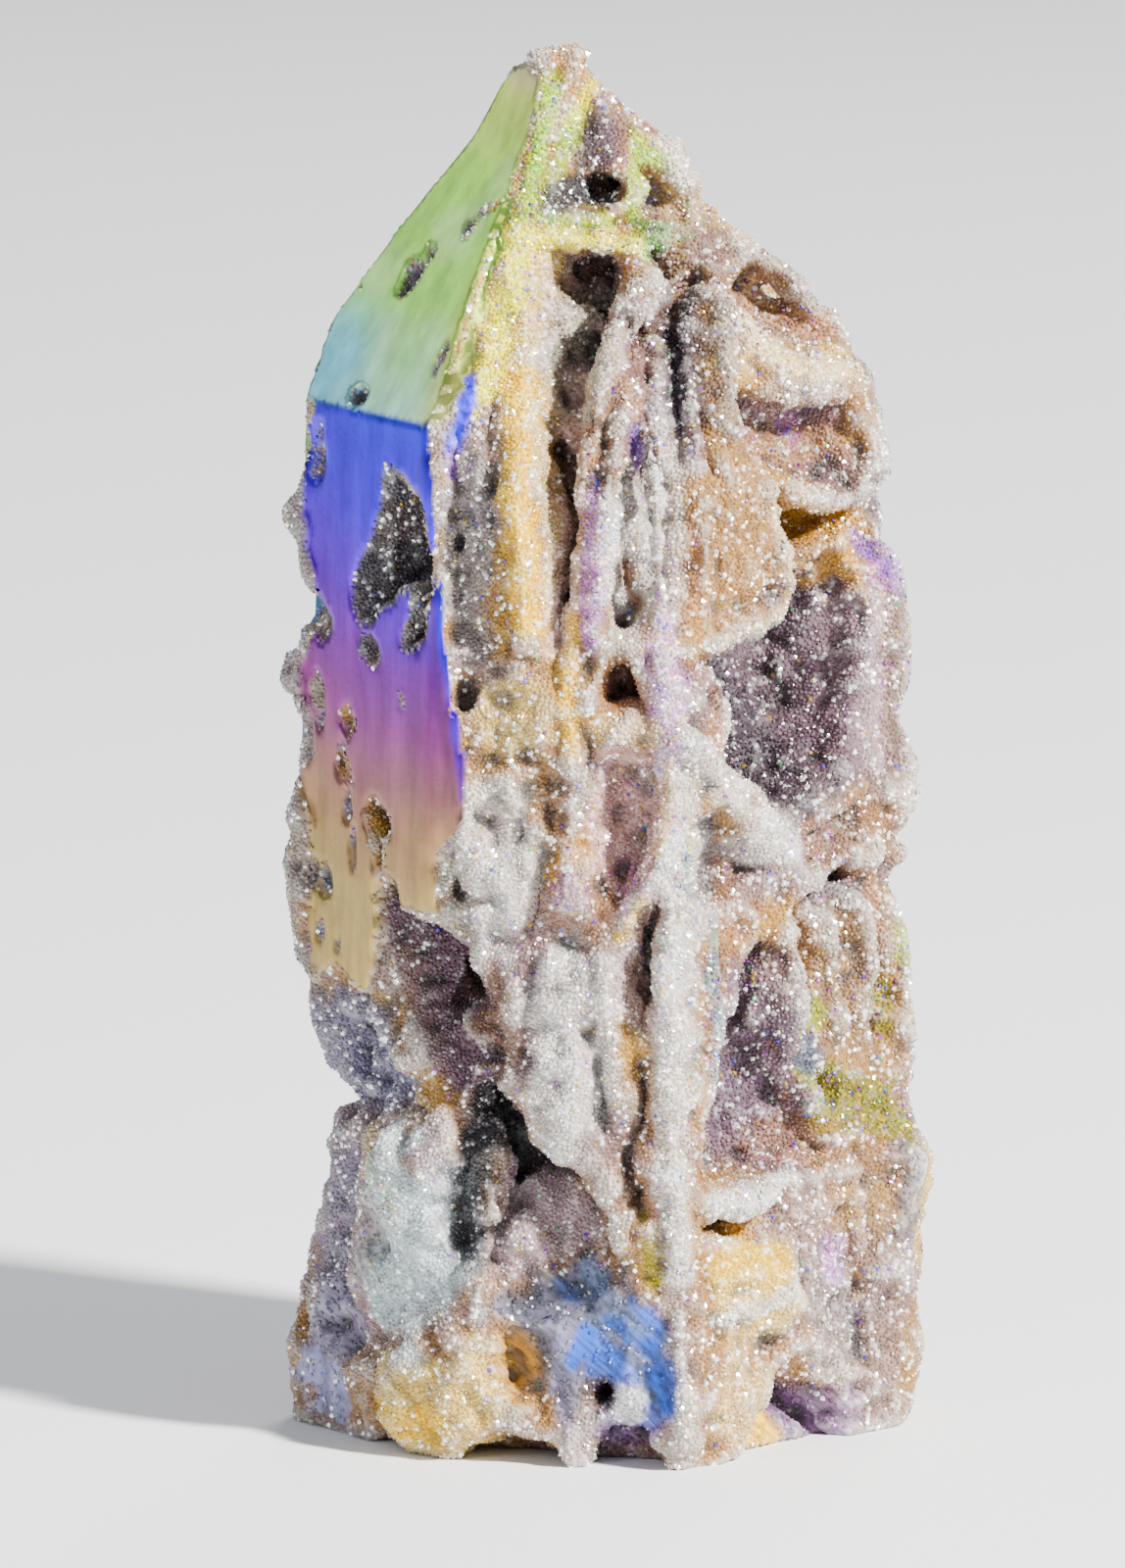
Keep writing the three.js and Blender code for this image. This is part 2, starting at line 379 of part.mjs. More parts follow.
// A matrix that stands a drawing (x across, y height, z out from the axis) on a side.
function elevationMatrix(turnDegrees) {
  const axes = sideAxes(turnDegrees);
  return new THREE.Matrix4().makeBasis(axes.across, new THREE.Vector3(0, 0, 1), axes.outward);
}

// Distance from the axis to the facets, level, in one direction at one height.
function distanceToFacets(direction, centre, height) {
  let nearest = { distance: REACH, name: "" };
  for (const [name, facet] of Object.entries(FACETS)) {
    const axes = sideAxes(facet.turn, facet.slope);
    const point = axes.level.clone().multiplyScalar(facet.out).setZ(facet.at);
    const start = new THREE.Vector3(centre.x, centre.y, height);
    const closing = axes.outward.dot(direction);
    if (closing < 1e-4) {
      continue;
    }
    const distance = axes.outward.dot(point.sub(start)) / closing;
    if (distance < nearest.distance) {
      nearest = { distance, name };
    }
  }
  return nearest;
}

// The stone as it broke: rings of points, standing out where the saw will take them off
// and lying just inside the facets where the druse is bare.
function roughStone() {
  const random = randomStream(11);
  const turns = [];
  COLUMNS_BETWEEN.forEach((count, corner) => {
    for (let step = 0; step < count; step += 1) {
      const share = step / count;
      turns.push(CORNER_TURNS[corner] * (1 - share) + CORNER_TURNS[corner + 1] * share);
    }
  });
  const heights = [0];
  while (heights[heights.length - 1] + RING_STEP < TIP_HEIGHT - 1) {
    heights.push(heights[heights.length - 1] + RING_STEP);
  }
  const positions = [];
  for (const height of heights) {
    const drift = Math.max(0, (height - 80) / (TIP_HEIGHT - 80));
    const centre = { x: AXIS_AT_TIP.x * drift, y: AXIS_AT_TIP.y * drift };
    for (const turn of turns) {
      const direction = sideAxes(turn).level;
      const { distance, name } = distanceToFacets(direction, centre, height);
      const bare = ROUGH_FACETS.includes(name);
      const offset = bare ? -SKIN_LIES_IN - SKIN_LUMPS * random() ** 1.6 : SKIN_STANDS_OUT;
      const radius = Math.max(0.6, distance + offset);
      positions.push(centre.x + direction.x * radius, centre.y + direction.y * radius, height);
    }
  }
  const ring = turns.length;
  const foot = heights.length * ring;
  const tip = foot + 1;
  positions.push(0, 0, 0, AXIS_AT_TIP.x, AXIS_AT_TIP.y, TIP_HEIGHT);
  const faces = [];
  for (let row = 0; row < heights.length - 1; row += 1) {
    for (let column = 0; column < ring; column += 1) {
      const here = row * ring + column;
      const next = row * ring + (column + 1) % ring;
      if ((row + column) % 2 === 0) {
        faces.push(here, next, next + ring, here, next + ring, here + ring);
      } else {
        faces.push(here, next, here + ring, next, next + ring, here + ring);
      }
    }
  }
  const top = (heights.length - 1) * ring;
  for (let column = 0; column < ring; column += 1) {
    const next = (column + 1) % ring;
    faces.push(foot, next, column);
    faces.push(top + column, top + next, tip);
  }
  const geometry = new THREE.BufferGeometry();
  geometry.setAttribute("position", new THREE.Float32BufferAttribute(positions, 3));
  geometry.setIndex(faces);
  return toSolid(geometry);
}

// Everything outside one facet, as a thick slab that the saw takes away.
function wasteOutside(facet) {
  const slab = new THREE.BoxGeometry(4 * REACH, 4 * REACH, REACH);
  slab.translate(0, 0, REACH / 2);
  slab.applyMatrix4(facetMatrix(facet));
  return toSolid(slab);
}

// The rim of a hollow with short runs that wander a little to either side.
function wanderingRim(outline, random) {
  const rim = [];
  outline.forEach(([x, y], index) => {
    const [nextX, nextY] = outline[(index + 1) % outline.length];
    const length = Math.hypot(nextX - x, nextY - y);
    const runs = Math.max(1, Math.round(length / RIM_STEP));
    for (let run = 0; run < runs; run += 1) {
      const share = run / runs;
      const wander = run === 0 ? RIM_WANDER / 3 : RIM_WANDER;
      rim.push(new THREE.Vector2(
        x + (nextX - x) * share + between(random, -wander, wander),
        y + (nextY - y) * share + between(random, -wander, wander),
      ));
    }
  });
  return rim;
}

// A straight prism over an outline on a side, between two distances from the axis.
function prism(matrix, rim, from, to) {
  const shape = new THREE.Shape(rim);
  const geometry = new THREE.ExtrudeGeometry(shape, { depth: to - from, bevelEnabled: false });
  geometry.translate(0, 0, from);
  geometry.applyMatrix4(matrix);
  return toSolid(geometry);
}

// The bed of a hollow: a block with a lumpy top that lies at the wanted depth under the facet.
// The block is wider than the outline, and where the facet slopes it reaches further up, so that
// its top ends outside the straight shaft over the outline.
function lumpyBed(hollow, random) {
  const facet = FACETS[hollow.facet];
  const slope = THREE.MathUtils.degToRad(facet.slope);
  const acrossValues = hollow.outline.map(([across]) => across);
  const heightValues = hollow.outline.map(([, height]) => (height - facet.at) / Math.cos(slope));
  const spread = hollow.side === hollow.facet ? 2 : 4;
  const rise = REACH / 3 * Math.max(0, Math.sin(slope));
  const left = Math.min(...acrossValues) - spread;
  const right = Math.max(...acrossValues) + spread;
  const bottom = Math.min(...heightValues) - spread;
  const top = Math.max(...heightValues) + spread + rise;
  const width = right - left;
  const height = top - bottom;
  const thickness = 40;
  const cellsAcross = Math.max(2, Math.round(width / FLOOR_CELL));
  const cellsUp = Math.max(2, Math.round(height / FLOOR_CELL));
  const block = mergeCorners(new THREE.BoxGeometry(width, height, thickness, cellsAcross, cellsUp, 1));
  const position = block.attributes.position;
  for (let index = 0; index < position.count; index += 1) {
    const across = position.getX(index);
    const up = position.getY(index);
    let level = -thickness;
    if (position.getZ(index) > 0) {
      const tilt = (hollow.tiltAcross ?? 0) * across + (hollow.tiltUp ?? 0) * up;
      const lump = between(random, -FLOOR_LUMPS, FLOOR_LUMPS) * Math.min(1, hollow.depth / 3);
      level = -Math.max(0.5, hollow.depth + tilt + lump);
    }
    position.setXYZ(index, across + (left + right) / 2, up + (bottom + top) / 2, level);
  }
  block.applyMatrix4(facetMatrix(facet));
  return toSolid(block);
}

// The shaft of a hollow, whose walls lean in as they go deeper, like a dent and not like a punched hole.
function leaningShaft(hollow, rim) {
  const middle = rim.reduce((sum, point) => sum.add(point), new THREE.Vector2()).divideScalar(rim.length);
  const meanRadius = rim.reduce((sum, point) => sum + point.distanceTo(middle), 0) / rim.length;
  const facet = FACETS[hollow.facet];
  const surface = facet.out - (middle.y - facet.at) * Math.tan(THREE.MathUtils.degToRad(facet.slope));
  const narrowing = Math.min(WALL_LEAN / meanRadius, MOST_NARROWING / (hollow.depth + 2));
  const from = surface - hollow.depth - SHAFT_REACH;
  const to = surface + 2 * SHAFT_REACH;
  const shape = new THREE.Shape(rim);
  const shaft = mergeCorners(new THREE.ExtrudeGeometry(shape, { depth: to - from, bevelEnabled: false }));
  const position = shaft.attributes.position;
  for (let index = 0; index < position.count; index += 1) {
    const level = position.getZ(index) + from;
    const scale = 1 + narrowing * (level - surface);
    const across = middle.x + (position.getX(index) - middle.x) * scale;
    const height = middle.y + (position.getY(index) - middle.y) * scale;
    position.setXYZ(index, across, height, level);
  }
  shaft.applyMatrix4(elevationMatrix(FACETS[hollow.side].turn));
  return toSolid(shaft);
}

// What is missing from the stone at one hollow.
function hollowCut(hollow, seed) {
  const random = randomStream(seed);
  const rim = wanderingRim(hollow.outline, random);
  return leaningShaft(hollow, rim).subtract(lumpyBed(hollow, random));
}

// A rounded stone lump with uneven faces, on a unit ball.
function unevenBall(detail, roughness, random) {
  const ball = mergeCorners(new THREE.IcosahedronGeometry(1, detail));
  const position = ball.attributes.position;
  for (let index = 0; index < position.count; index += 1) {
    const point = new THREE.Vector3().fromBufferAttribute(position, index);
    point.multiplyScalar(1 + between(random, -roughness, roughness));
    position.setXYZ(index, ...point);
  }
  return ball;
}

// One lump at its place on its side.
function placedLump(lump, seed) {
  const facet = FACETS[lump.side];
  const lean = Math.tan(THREE.MathUtils.degToRad(facet.slope)) * lump.height;
  const detail = lump.wide > FINE_LUMP_WIDTH ? 1 : 0;
  const ball = unevenBall(detail, 0.16, randomStream(seed));
  ball.scale(lump.wide, lump.tall, lump.thick);
  ball.translate(lump.across, lump.height, facet.out - lean - lump.sunk);
  ball.applyMatrix4(elevationMatrix(facet.turn));
  return toSolid(ball);
}

// What is missing from a polished facet at one pit.
function placedPit(pit, seed) {
  const facet = FACETS[pit.facet];
  const upTheFacet = (pit.height - facet.at) / Math.cos(THREE.MathUtils.degToRad(facet.slope));
  const ball = unevenBall(0, 0.22, randomStream(seed));
  ball.scale(pit.wide, pit.tall, pit.deep);
  ball.translate(pit.across, upTheFacet, 0);
  ball.applyMatrix4(facetMatrix(facet));
  return toSolid(ball);
}

// True where a point lies on one of the sawn and polished facets.
function liesOnFacet(point) {
  return Object.values(FACETS).some((facet) => {
    const axes = sideAxes(facet.turn, facet.slope);
    const foot = axes.level.clone().multiplyScalar(facet.out).setZ(facet.at);
    return Math.abs(axes.outward.dot(foot.sub(point))) < 0.05;
  });
}

// Small pointed crystals, spread evenly by area over the crust and fused to it.
function crystalsOn(body) {
  const random = randomStream(77);
  const mesh = body.getMesh();
  const corner = (index) => {
    const start = mesh.numProp * mesh.triVerts[index];
    return new THREE.Vector3().fromArray(mesh.vertProperties, start);
  };
  const faces = [];
  let total = 0;
  for (let face = 0; face < mesh.triVerts.length / 3; face += 1) {
    const triangle = new THREE.Triangle(corner(3 * face), corner(3 * face + 1), corner(3 * face + 2));
    const middle = triangle.getMidpoint(new THREE.Vector3());
    const normal = triangle.getNormal(new THREE.Vector3());
    if (middle.z > 3 && normal.z > -0.7 && !liesOnFacet(middle)) {
      total += triangle.getArea();
      faces.push({ triangle, normal, upTo: total });
    }
  }
  const lean = () => between(random, -CRYSTAL_LEAN, CRYSTAL_LEAN);
  const crystals = [];
  while (crystals.length < CRYSTAL_COUNT) {
    const pick = random() * total;
    const { triangle, normal } = faces.find((face) => face.upTo >= pick);
    const first = Math.sqrt(random());
    const second = random();
    const place = triangle.a.clone().multiplyScalar(1 - first);
    place.addScaledVector(triangle.b, first * (1 - second));
    place.addScaledVector(triangle.c, first * second);
    const direction = normal.clone().add(new THREE.Vector3(lean(), lean(), lean())).normalize();
    const radius = between(random, ...CRYSTAL_RADIUS);
    const height = between(random, ...CRYSTAL_HEIGHT) + CRYSTAL_SUNK;
    const cone = new THREE.ConeGeometry(radius, height, 5, 1);
    cone.rotateY(random() * Math.PI * 2);
    cone.translate(0, height / 2 - CRYSTAL_SUNK, 0);
    cone.applyQuaternion(new THREE.Quaternion().setFromUnitVectors(new THREE.Vector3(0, 1, 0), direction));
    cone.translate(place.x, place.y, place.z);
    crystals.push(toSolid(cone));
  }
  return crystals;
}

// A prism seen square from the front, through a span of depth from front (negative) to back.
function frontCut(outline, [from, to], seed) {
  const rim = wanderingRim(outline, randomStream(seed));
  return prism(elevationMatrix(0), rim, -to, -from);
}

let stone = roughStone();
for (const facet of Object.values(FACETS)) {
  stone = stone.subtract(wasteOutside(facet));
}
stone = stone.subtract(frontCut(LEFT_PINCH, LEFT_PINCH_SPAN, 301));
stone = stone.subtract(frontCut(RIGHT_FOOT, RIGHT_FOOT_SPAN, 302));
HOLLOWS.forEach((hollow, index) => {
  stone = stone.subtract(hollowCut(hollow, 400 + index));
});
LUMPS.forEach((lump, index) => {
  stone = stone.add(placedLump(lump, 600 + index));
});
const knob = unevenBall(0, 0.2, randomStream(690));
knob.scale(...TIP_KNOB.size);
knob.translate(...TIP_KNOB.centre);
stone = stone.add(toSolid(knob));
PITS.forEach((pit, index) => {
  stone = stone.subtract(placedPit(pit, 700 + index));
});
for (const crystal of crystalsOn(stone)) {
  stone = stone.add(crystal);
}
BASE_ARCHES.forEach((arch, index) => {
  const rim = wanderingRim(arch.outline, randomStream(800 + index));
  const facet = FACETS[arch.side];
  stone = stone.subtract(prism(elevationMatrix(facet.turn), rim, facet.out - arch.reachIn, REACH));
});
const belowBase = new THREE.BoxGeometry(4 * REACH, 4 * REACH, REACH);
belowBase.translate(0, 0, -REACH / 2);
stone = stone.subtract(toSolid(belowBase));

// The cuts can leave a crumb or a sealed bubble: only the stone itself stays.
const bodies = stone.decompose();
stone = bodies.reduce((largest, body) => (body.volume() > largest.volume() ? body : largest));

const result = stone.getMesh();
const geometry = new THREE.BufferGeometry();
geometry.setAttribute("position", new THREE.BufferAttribute(new Float32Array(result.vertProperties), 3));
geometry.setIndex(new THREE.BufferAttribute(new Uint32Array(result.triVerts), 1));
geometry.computeVertexNormals();

const material = new THREE.MeshStandardMaterial({
  name: "stone",
  color: STONE_COLOUR,
  roughness: STONE_ROUGHNESS,
  metalness: 0,
});
const tower = new THREE.Mesh(geometry, material);
tower.name = "sphalerite_tower";

const group = new THREE.Group();
group.name = "sphalerite_tower";
group.add(tower);
export default group;
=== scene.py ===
# %% [markdown]
# # A sphalerite tower
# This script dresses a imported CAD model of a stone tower: a six-sided point that was cut and polished
# on one side, and left as it grew on the other, where small crystals cover hollows, clefts and walls.
# A thin metallic coating gives it rainbow colours. The CAD model fixes the size and the place of
# everything. Here it gets the fine relief, the crystals and the colours. All lengths in the tables are
# in millimetres, because that is how such a stone is measured, and MM turns them into Blender's metres.

import bmesh
import bpy
import itertools
import json
import math
import numpy as np
from mathutils import Matrix, Vector

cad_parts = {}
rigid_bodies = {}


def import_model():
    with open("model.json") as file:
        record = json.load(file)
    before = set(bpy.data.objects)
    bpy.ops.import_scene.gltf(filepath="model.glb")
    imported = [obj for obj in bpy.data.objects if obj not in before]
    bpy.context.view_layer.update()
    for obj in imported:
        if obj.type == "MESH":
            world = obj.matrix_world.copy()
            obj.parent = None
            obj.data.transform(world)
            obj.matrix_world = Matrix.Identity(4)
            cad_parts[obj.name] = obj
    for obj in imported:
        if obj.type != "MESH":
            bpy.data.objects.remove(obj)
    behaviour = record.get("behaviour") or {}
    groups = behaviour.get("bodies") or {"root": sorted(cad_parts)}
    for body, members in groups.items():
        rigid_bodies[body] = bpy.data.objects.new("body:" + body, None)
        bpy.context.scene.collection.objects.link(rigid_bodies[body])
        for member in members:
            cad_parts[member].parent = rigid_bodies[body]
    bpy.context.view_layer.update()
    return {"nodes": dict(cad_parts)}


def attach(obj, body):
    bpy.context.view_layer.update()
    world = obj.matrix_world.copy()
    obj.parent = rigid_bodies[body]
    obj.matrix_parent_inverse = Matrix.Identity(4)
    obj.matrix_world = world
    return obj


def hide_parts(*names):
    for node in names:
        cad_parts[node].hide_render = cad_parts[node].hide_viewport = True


MM = 0.001
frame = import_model()

# %% [markdown]
# ## The camera
# The photograph was taken from a little above, from so far away that upright edges stay upright. A long
# lens at 1.2 m does the same. The camera is an object like any other: it looks along its own -Z axis,
# so a direction turned into a rotation aims it.

# %% Aim the camera
CAMERA_TARGET = Vector((-1.8, 0, 51.6)) * MM
CAMERA_DISTANCE = 1200 * MM
CAMERA_ELEVATION = math.radians(9)
CAMERA_LENS = 343.4
SENSOR_HEIGHT = 36
FARTHEST_SEEN = 20

camera_data = bpy.data.cameras.new("camera")
camera_data.sensor_fit = "VERTICAL"
camera_data.sensor_height = SENSOR_HEIGHT
camera_data.lens = CAMERA_LENS
camera_data.clip_end = FARTHEST_SEEN
camera = bpy.data.objects.new("camera", camera_data)
bpy.context.scene.collection.objects.link(camera)
towards_camera = Vector((0, -math.cos(CAMERA_ELEVATION), math.sin(CAMERA_ELEVATION)))
camera.location = CAMERA_TARGET + towards_camera * CAMERA_DISTANCE
camera.rotation_euler = towards_camera.to_track_quat("Z", "Y").to_euler()
bpy.context.scene.camera = camera
print("camera at", [round(value, 3) for value in camera.location])

# %% [markdown]
# ## A finer copy of the stone
# The CAD solid has large plain faces. To carve small relief into it, the surface needs points about as
# close together as the relief is wide. Subdividing would keep the long thin triangles of the CAD model,
# so a voxel remesh is used: it pours the shape into cubes of one size and wraps them in even quads. Two
# hollows near the back left corner meet in a slit. The real stone has a wall between such hollows, so a lump
# is put there first, and the remesh melts it into the stone. What the remesh leaves loose is taken away.

# %% Remesh a copy of the stone
GRAIN = 0.56 * MM
WELD_REACH = 0.002 * MM
WALL_MIDDLE = Vector((-7.6, 16.0, 36.5)) * MM
WALL_RADII = Vector((3.3, 3.3, 10)) * MM


def plain_mesh_of(thing, name):
    """What Blender shows of an object, modifiers included, as a mesh of its own."""
    evaluated = thing.evaluated_get(bpy.context.evaluated_depsgraph_get())
    mesh = bpy.data.meshes.new_from_object(evaluated)
    mesh.name = name
    return mesh


stone = bpy.data.objects.new("stone_body", frame["nodes"]["sphalerite_tower"].data.copy())
bpy.context.scene.collection.objects.link(stone)
with_wall = bmesh.new()
with_wall.from_mesh(stone.data)
wall_shape = Matrix.LocRotScale(WALL_MIDDLE, None, WALL_RADII)
bmesh.ops.create_icosphere(with_wall, subdivisions=3, radius=1, matrix=wall_shape)
with_wall.to_mesh(stone.data)
with_wall.free()
weld = stone.modifiers.new("merge loose corners", "WELD")
weld.merge_threshold = WELD_REACH
remesh = stone.modifiers.new("even grain", "REMESH")
remesh.mode = "VOXEL"
remesh.voxel_size = GRAIN
finer = plain_mesh_of(stone, "stone_body")
stone.modifiers.clear()

whole = bmesh.new()
whole.from_mesh(finer)
body = {max(whole.verts, key=lambda corner: corner.co.z)}
front = list(body)
while front:
    touching = {edge.other_vert(corner) for corner in front for edge in corner.link_edges}
    front = list(touching - body)
    body |= touching
loose = [corner for corner in whole.verts if corner not in body]
print("loose points removed:", len(loose))
bmesh.ops.delete(whole, geom=loose, context="VERTS")
whole.to_mesh(finer)
whole.free()
stone.data = finer
stone.data.materials.clear()
print("stone body:", len(finer.vertices), "points,", len(finer.polygons), "faces")

# %% [markdown]
# ## Sides and facets
# The stone has six upright sides and six sloping ones, like a quartz point, and one narrow bevel. Each is
# a plane, given by the way it faces, how much it leans back and its distance from the axis. With these
# planes each point of the mesh can be asked how deep under the cut surface it lies, and a place on the
# stone can be named as a side, a distance across it and a height, the way one would point at it.

# %% Describe the facets
FACETS = {
    # name: (turn from the front to the right, lean back, out from the axis, at this height)
    "middle": (-10, 1.2, 21.4, 0),
    "right": (46, 2.4, 22.0, 0),
    "back_right": (108, 2.5, 26.2, 0),
    "back": (172, 2.2, 21.5, 0),
    "back_left": (-124, 1.4, 20.0, 0),
    "left": (-57, 0.8, 20.5, 0),
    "left_edge": (-33, -0.6, 20.5, 0),
    "middle_top": (-6, 33, 18.4, 82),
    "right_top": (46, 38, 19.0, 85),
    "back_right_top": (108, 43, 22.4, 86),
    "back_top": (172, 36, 19.0, 84),
    "back_left_top": (-124, 35, 21.2, 84),
    "left_top": (-56, 34.3, 19.6, 82.5),
}
CORNERS = {"left corner": -92, "right corner": 77, "back corner": 140}
POLISHED = ["left", "left_edge", "left_top", "back_left", "back_left_top", "back", "back_top"]


def side_axes(name):
    """Directions across and level outwards on a side or a corner, seen from outside."""
    turn = math.radians(CORNERS[name] if name in CORNERS else FACETS[name][0])
    across = np.array([math.cos(turn), math.sin(turn), 0])
    outwards = np.array([math.sin(turn), -math.cos(turn), 0])
    return across, outwards


def facet_normal(name):
    """The direction that a facet faces."""
    lean = math.radians(FACETS[name][1])
    return side_axes(name)[1] * math.cos(lean) + np.array([0, 0, math.sin(lean)])


def depth_under(points, name):
    """How far points lie inside the plane of a facet, in mm."""
    turn, lean, out, height = FACETS[name]
    foot = side_axes(name)[1] * out + np.array([0, 0, height])
    return (foot - points) @ facet_normal(name)


def read_points(mesh):
    """The points of a mesh, in mm."""
    flat = np.empty(len(mesh.vertices) * 3)
    mesh.vertices.foreach_get("co", flat)
    return flat.reshape(-1, 3) / MM


def read_normals(mesh):
    """The normals at the points of a mesh."""
    flat = np.empty(len(mesh.vertices) * 3)
    mesh.vertex_normals.foreach_get("vector", flat)
    return flat.reshape(-1, 3)


def write_points(mesh, points):
    """Moves the points of a mesh to new places, in mm."""
    mesh.vertices.foreach_set("co", (points * MM).ravel())
    mesh.update()


def smooth_step(value, low, high):
    """0 below low, 1 above high and a soft change between them."""
    share = np.clip((value - low) / (high - low), 0, 1)
    return share * share * (3 - 2 * share)


points = read_points(stone.data)
depths = np.stack([depth_under(points, name) for name in FACETS], axis=1)
depth = depths.min(axis=1)
nearest = depths.argmin(axis=1)
print("depth under the facets: up to", round(float(depth.max()), 1), "mm")

# %% Helpers for smoothing, noise and drawn lines
def edge_pairs(mesh):
    """The two ends of each edge of a mesh."""
    flat = np.empty(len(mesh.edges) * 2, dtype=np.int64)
    mesh.edges.foreach_get("vertices", flat)
    return flat.reshape(-1, 2)


def neighbour_mean(values, pairs, count):
    """The mean of a value over the neighbours of each point."""
    here = np.concatenate([pairs[:, 0], pairs[:, 1]])
    there = np.concatenate([pairs[:, 1], pairs[:, 0]])
    neighbours = np.bincount(here, minlength=count)
    columns = values.reshape(count, -1).T
    sums = [np.bincount(here, weights=column[there], minlength=count) for column in columns]
    return (np.stack(sums, axis=1) / neighbours[:, None]).reshape(values.shape)


def soft_noise(places, size, seed):
    """Values from -1 to 1 that change smoothly over about one size, the same on each run."""
    generator = np.random.default_rng(seed)
    lattice = generator.uniform(-1, 1, (64, 64, 64))
    scaled = places / size + generator.uniform(0, 64, 3)
    cell = np.floor(scaled).astype(np.int64)
    share = scaled - cell
    share = share * share * (3 - 2 * share)
    total = np.zeros(len(places))
    for corner in itertools.product((0, 1), repeat=3):
        weight = np.prod(np.where(corner, share, 1 - share), axis=1)
        x, y, z = ((cell + corner) % 64).T
        total += weight * lattice[x, y, z]
    return total


def on_side(places, side):
    """Places as (across, height) on a side."""
    return np.stack([places @ side_axes(side)[0], places[:, 2]], axis=1)


def distance_to_line(places, line):
    """The smallest distance of places, as (across, height), to a line through a few such places."""
    least = np.full(len(places), np.inf)
    for start, end in zip(line, line[1:]):
        start, way = np.array(start), np.subtract(end, start)
        share = np.clip((places - start) @ way / (way @ way), 0, 1)
        least = np.minimum(least, np.linalg.norm(places - start - share[:, None] * way, axis=1))
    return least


pairs = edge_pairs(stone.data)
print("edges:", len(pairs))

# %% [markdown]
# ## Where the stone is polished
# A polished place lies in the plane of a facet that was ground, and faces the same way. The remesh moved
# these points a little, so they are pressed back into their plane: a polished face has to be flat, or its
# reflections swim. The polish isn't a neat rectangle. On the left side it ends in a ragged line at a third
# of the height, apart from one patch at the foot. It is chipped along the back corner. The bevel is only a
# thin blue line that runs out downwards, and the green facet rolls a little over its front edge. Small pits
# go through the polish. The result is a number for each point, from 0, grown, to 1, polished.

# %% Find and flatten the polished faces
FLAT_ENOUGH = 0.34
FACING_ENOUGH = 0.82
POLISH_ENDS = 38
CHIPPED_BEYOND = -10.4
FOOT_PATCH = [(-9.2, 5.6), (-7.2, 4.2), (-4.2, 2.6)]
FOOT_PATCH_WIDTH = 2.3
FOOT_HEIGHT, FOOT_POLISH = 20, 0.6
BLUE_LINE = [(6.8, 79), (7.6, 74), (8.6, 69), (9.2, 65), (9.8, 61), (10.4, 57), (10.8, 53.5)]
BLUE_LINE_WIDTH = 0.45
BEVEL_ENDS = [(7.4, 43), (8.4, 47), (9.8, 51)]
CORNER_STEPS = 12
CORNER_WIDTH = (0.5, 1.3)
GREEN_ENDS = [
    # height, how far across the middle side the green reaches there
    (83, -8.6), (85, -7.2), (87, -6.3), (90, -5.9), (93, -5.1),
    (96, -4.2), (100, -3.8), (104, -3.4), (108, -2.4),
]
GREEN_REACH, GREEN_DEPTH = 6, 0.9
CROWN = [
    # height, how far the green facet bulges there
    (84, 0), (90, 0.5), (96, 1.1), (103, 1.2), (107, 1.9), (109, 1.3), (110, 0.6),
]
CROWN_DEPTH = (0.6, 5)
KNOB_RISE, KNOB_HEIGHTS = 0.9, (103, 109)
DIP_HEIGHT, DIP_REACH, DIP = 107.2, 1.7, 0.85
BASE_HEIGHT, BASE_FACING = 0.4, -0.8
PITS = [
    # facet, across, height, half width, half height, depth
    ("left_top", 5.6, 98.4, 1.1, 1.5, 1.6),
    ("left_top", 6.4, 101.6, 0.5, 0.7, 0.9),
    ("left_top", -0.4, 96.4, 0.7, 0.8, 0.9),
    ("left_top", 0.6, 98, 0.5, 0.5, 0.7),
    ("left_top", -5.2, 92.6, 1.1, 1.3, 1.1),
    ("left_top", -4, 94.4, 0.6, 0.8, 0.8),
    ("left_top", 5.2, 94.4, 0.5, 0.7, 0.8),
    ("left_top", 4, 87.4, 0.4, 1.3, 0.9),
    ("left_top", -4.8, 84, 1.1, 0.7, 1.1),
    ("left_top", 6.4, 105.4, 0.6, 0.8, 0.9),
    ("left_top", 6.8, 107.6, 0.5, 0.5, 0.8),
    ("left", -9.6, 78.6, 1.2, 2.2, 1.2),
    ("left", -5.4, 54.6, 0.7, 1.7, 0.9),
    ("left", -4.4, 51, 0.6, 1.4, 0.9),
    ("left", -8.6, 58.6, 0.6, 1.8, 0.9),
    ("left", 3.6, 60.4, 0.4, 0.4, 0.5),
    ("left", -7.8, 44.6, 1.0, 1.2, 1.0),
    ("left", -8.2, 40.4, 0.6, 0.8, 0.8),
    ("left", -5.8, 39.6, 0.5, 0.5, 0.7),
    ("left", -3.6, 47.6, 0.4, 1.6, 0.7),
    ("back_left", 3, 71, 1.6, 2.6, 1.6),
    ("back_left", -4, 56, 1.2, 2.2, 1.3),
    ("back_left", 6, 50, 0.8, 1.4, 1.0),
    ("back_left", -6, 76, 1.0, 1.2, 1.0),
    ("back_left_top", 2, 93, 1.3, 1.2, 1.2),
    ("back_left_top", -3, 88, 0.8, 1.0, 0.9),
    ("back", -5, 76, 1.5, 2.4, 1.5),
    ("back", 4, 66, 1.0, 1.6, 1.1),
    ("back", 6, 49, 1.4, 2.2, 1.3),
    ("back", -7, 36, 1.0, 1.6, 1.1),
    ("back_top", 2, 92, 1.2, 1.2, 1.2),
    ("back_top", -4, 87, 0.8, 0.9, 0.9),
]


def pit_share(places, side, across, height, half_width, half_height):
    """1 in the middle of a pit and 0 outside its ragged rim."""
    flat_places = on_side(places, side)
    from_middle = (flat_places[:, 0] - across) / half_width
    from_height = (flat_places[:, 1] - height) / half_height
    distance = np.sqrt(from_middle**2 + from_height**2) + 0.35 * soft_noise(places, 1.1, 12)
    return 1 - smooth_step(distance, 0.6, 1.15)


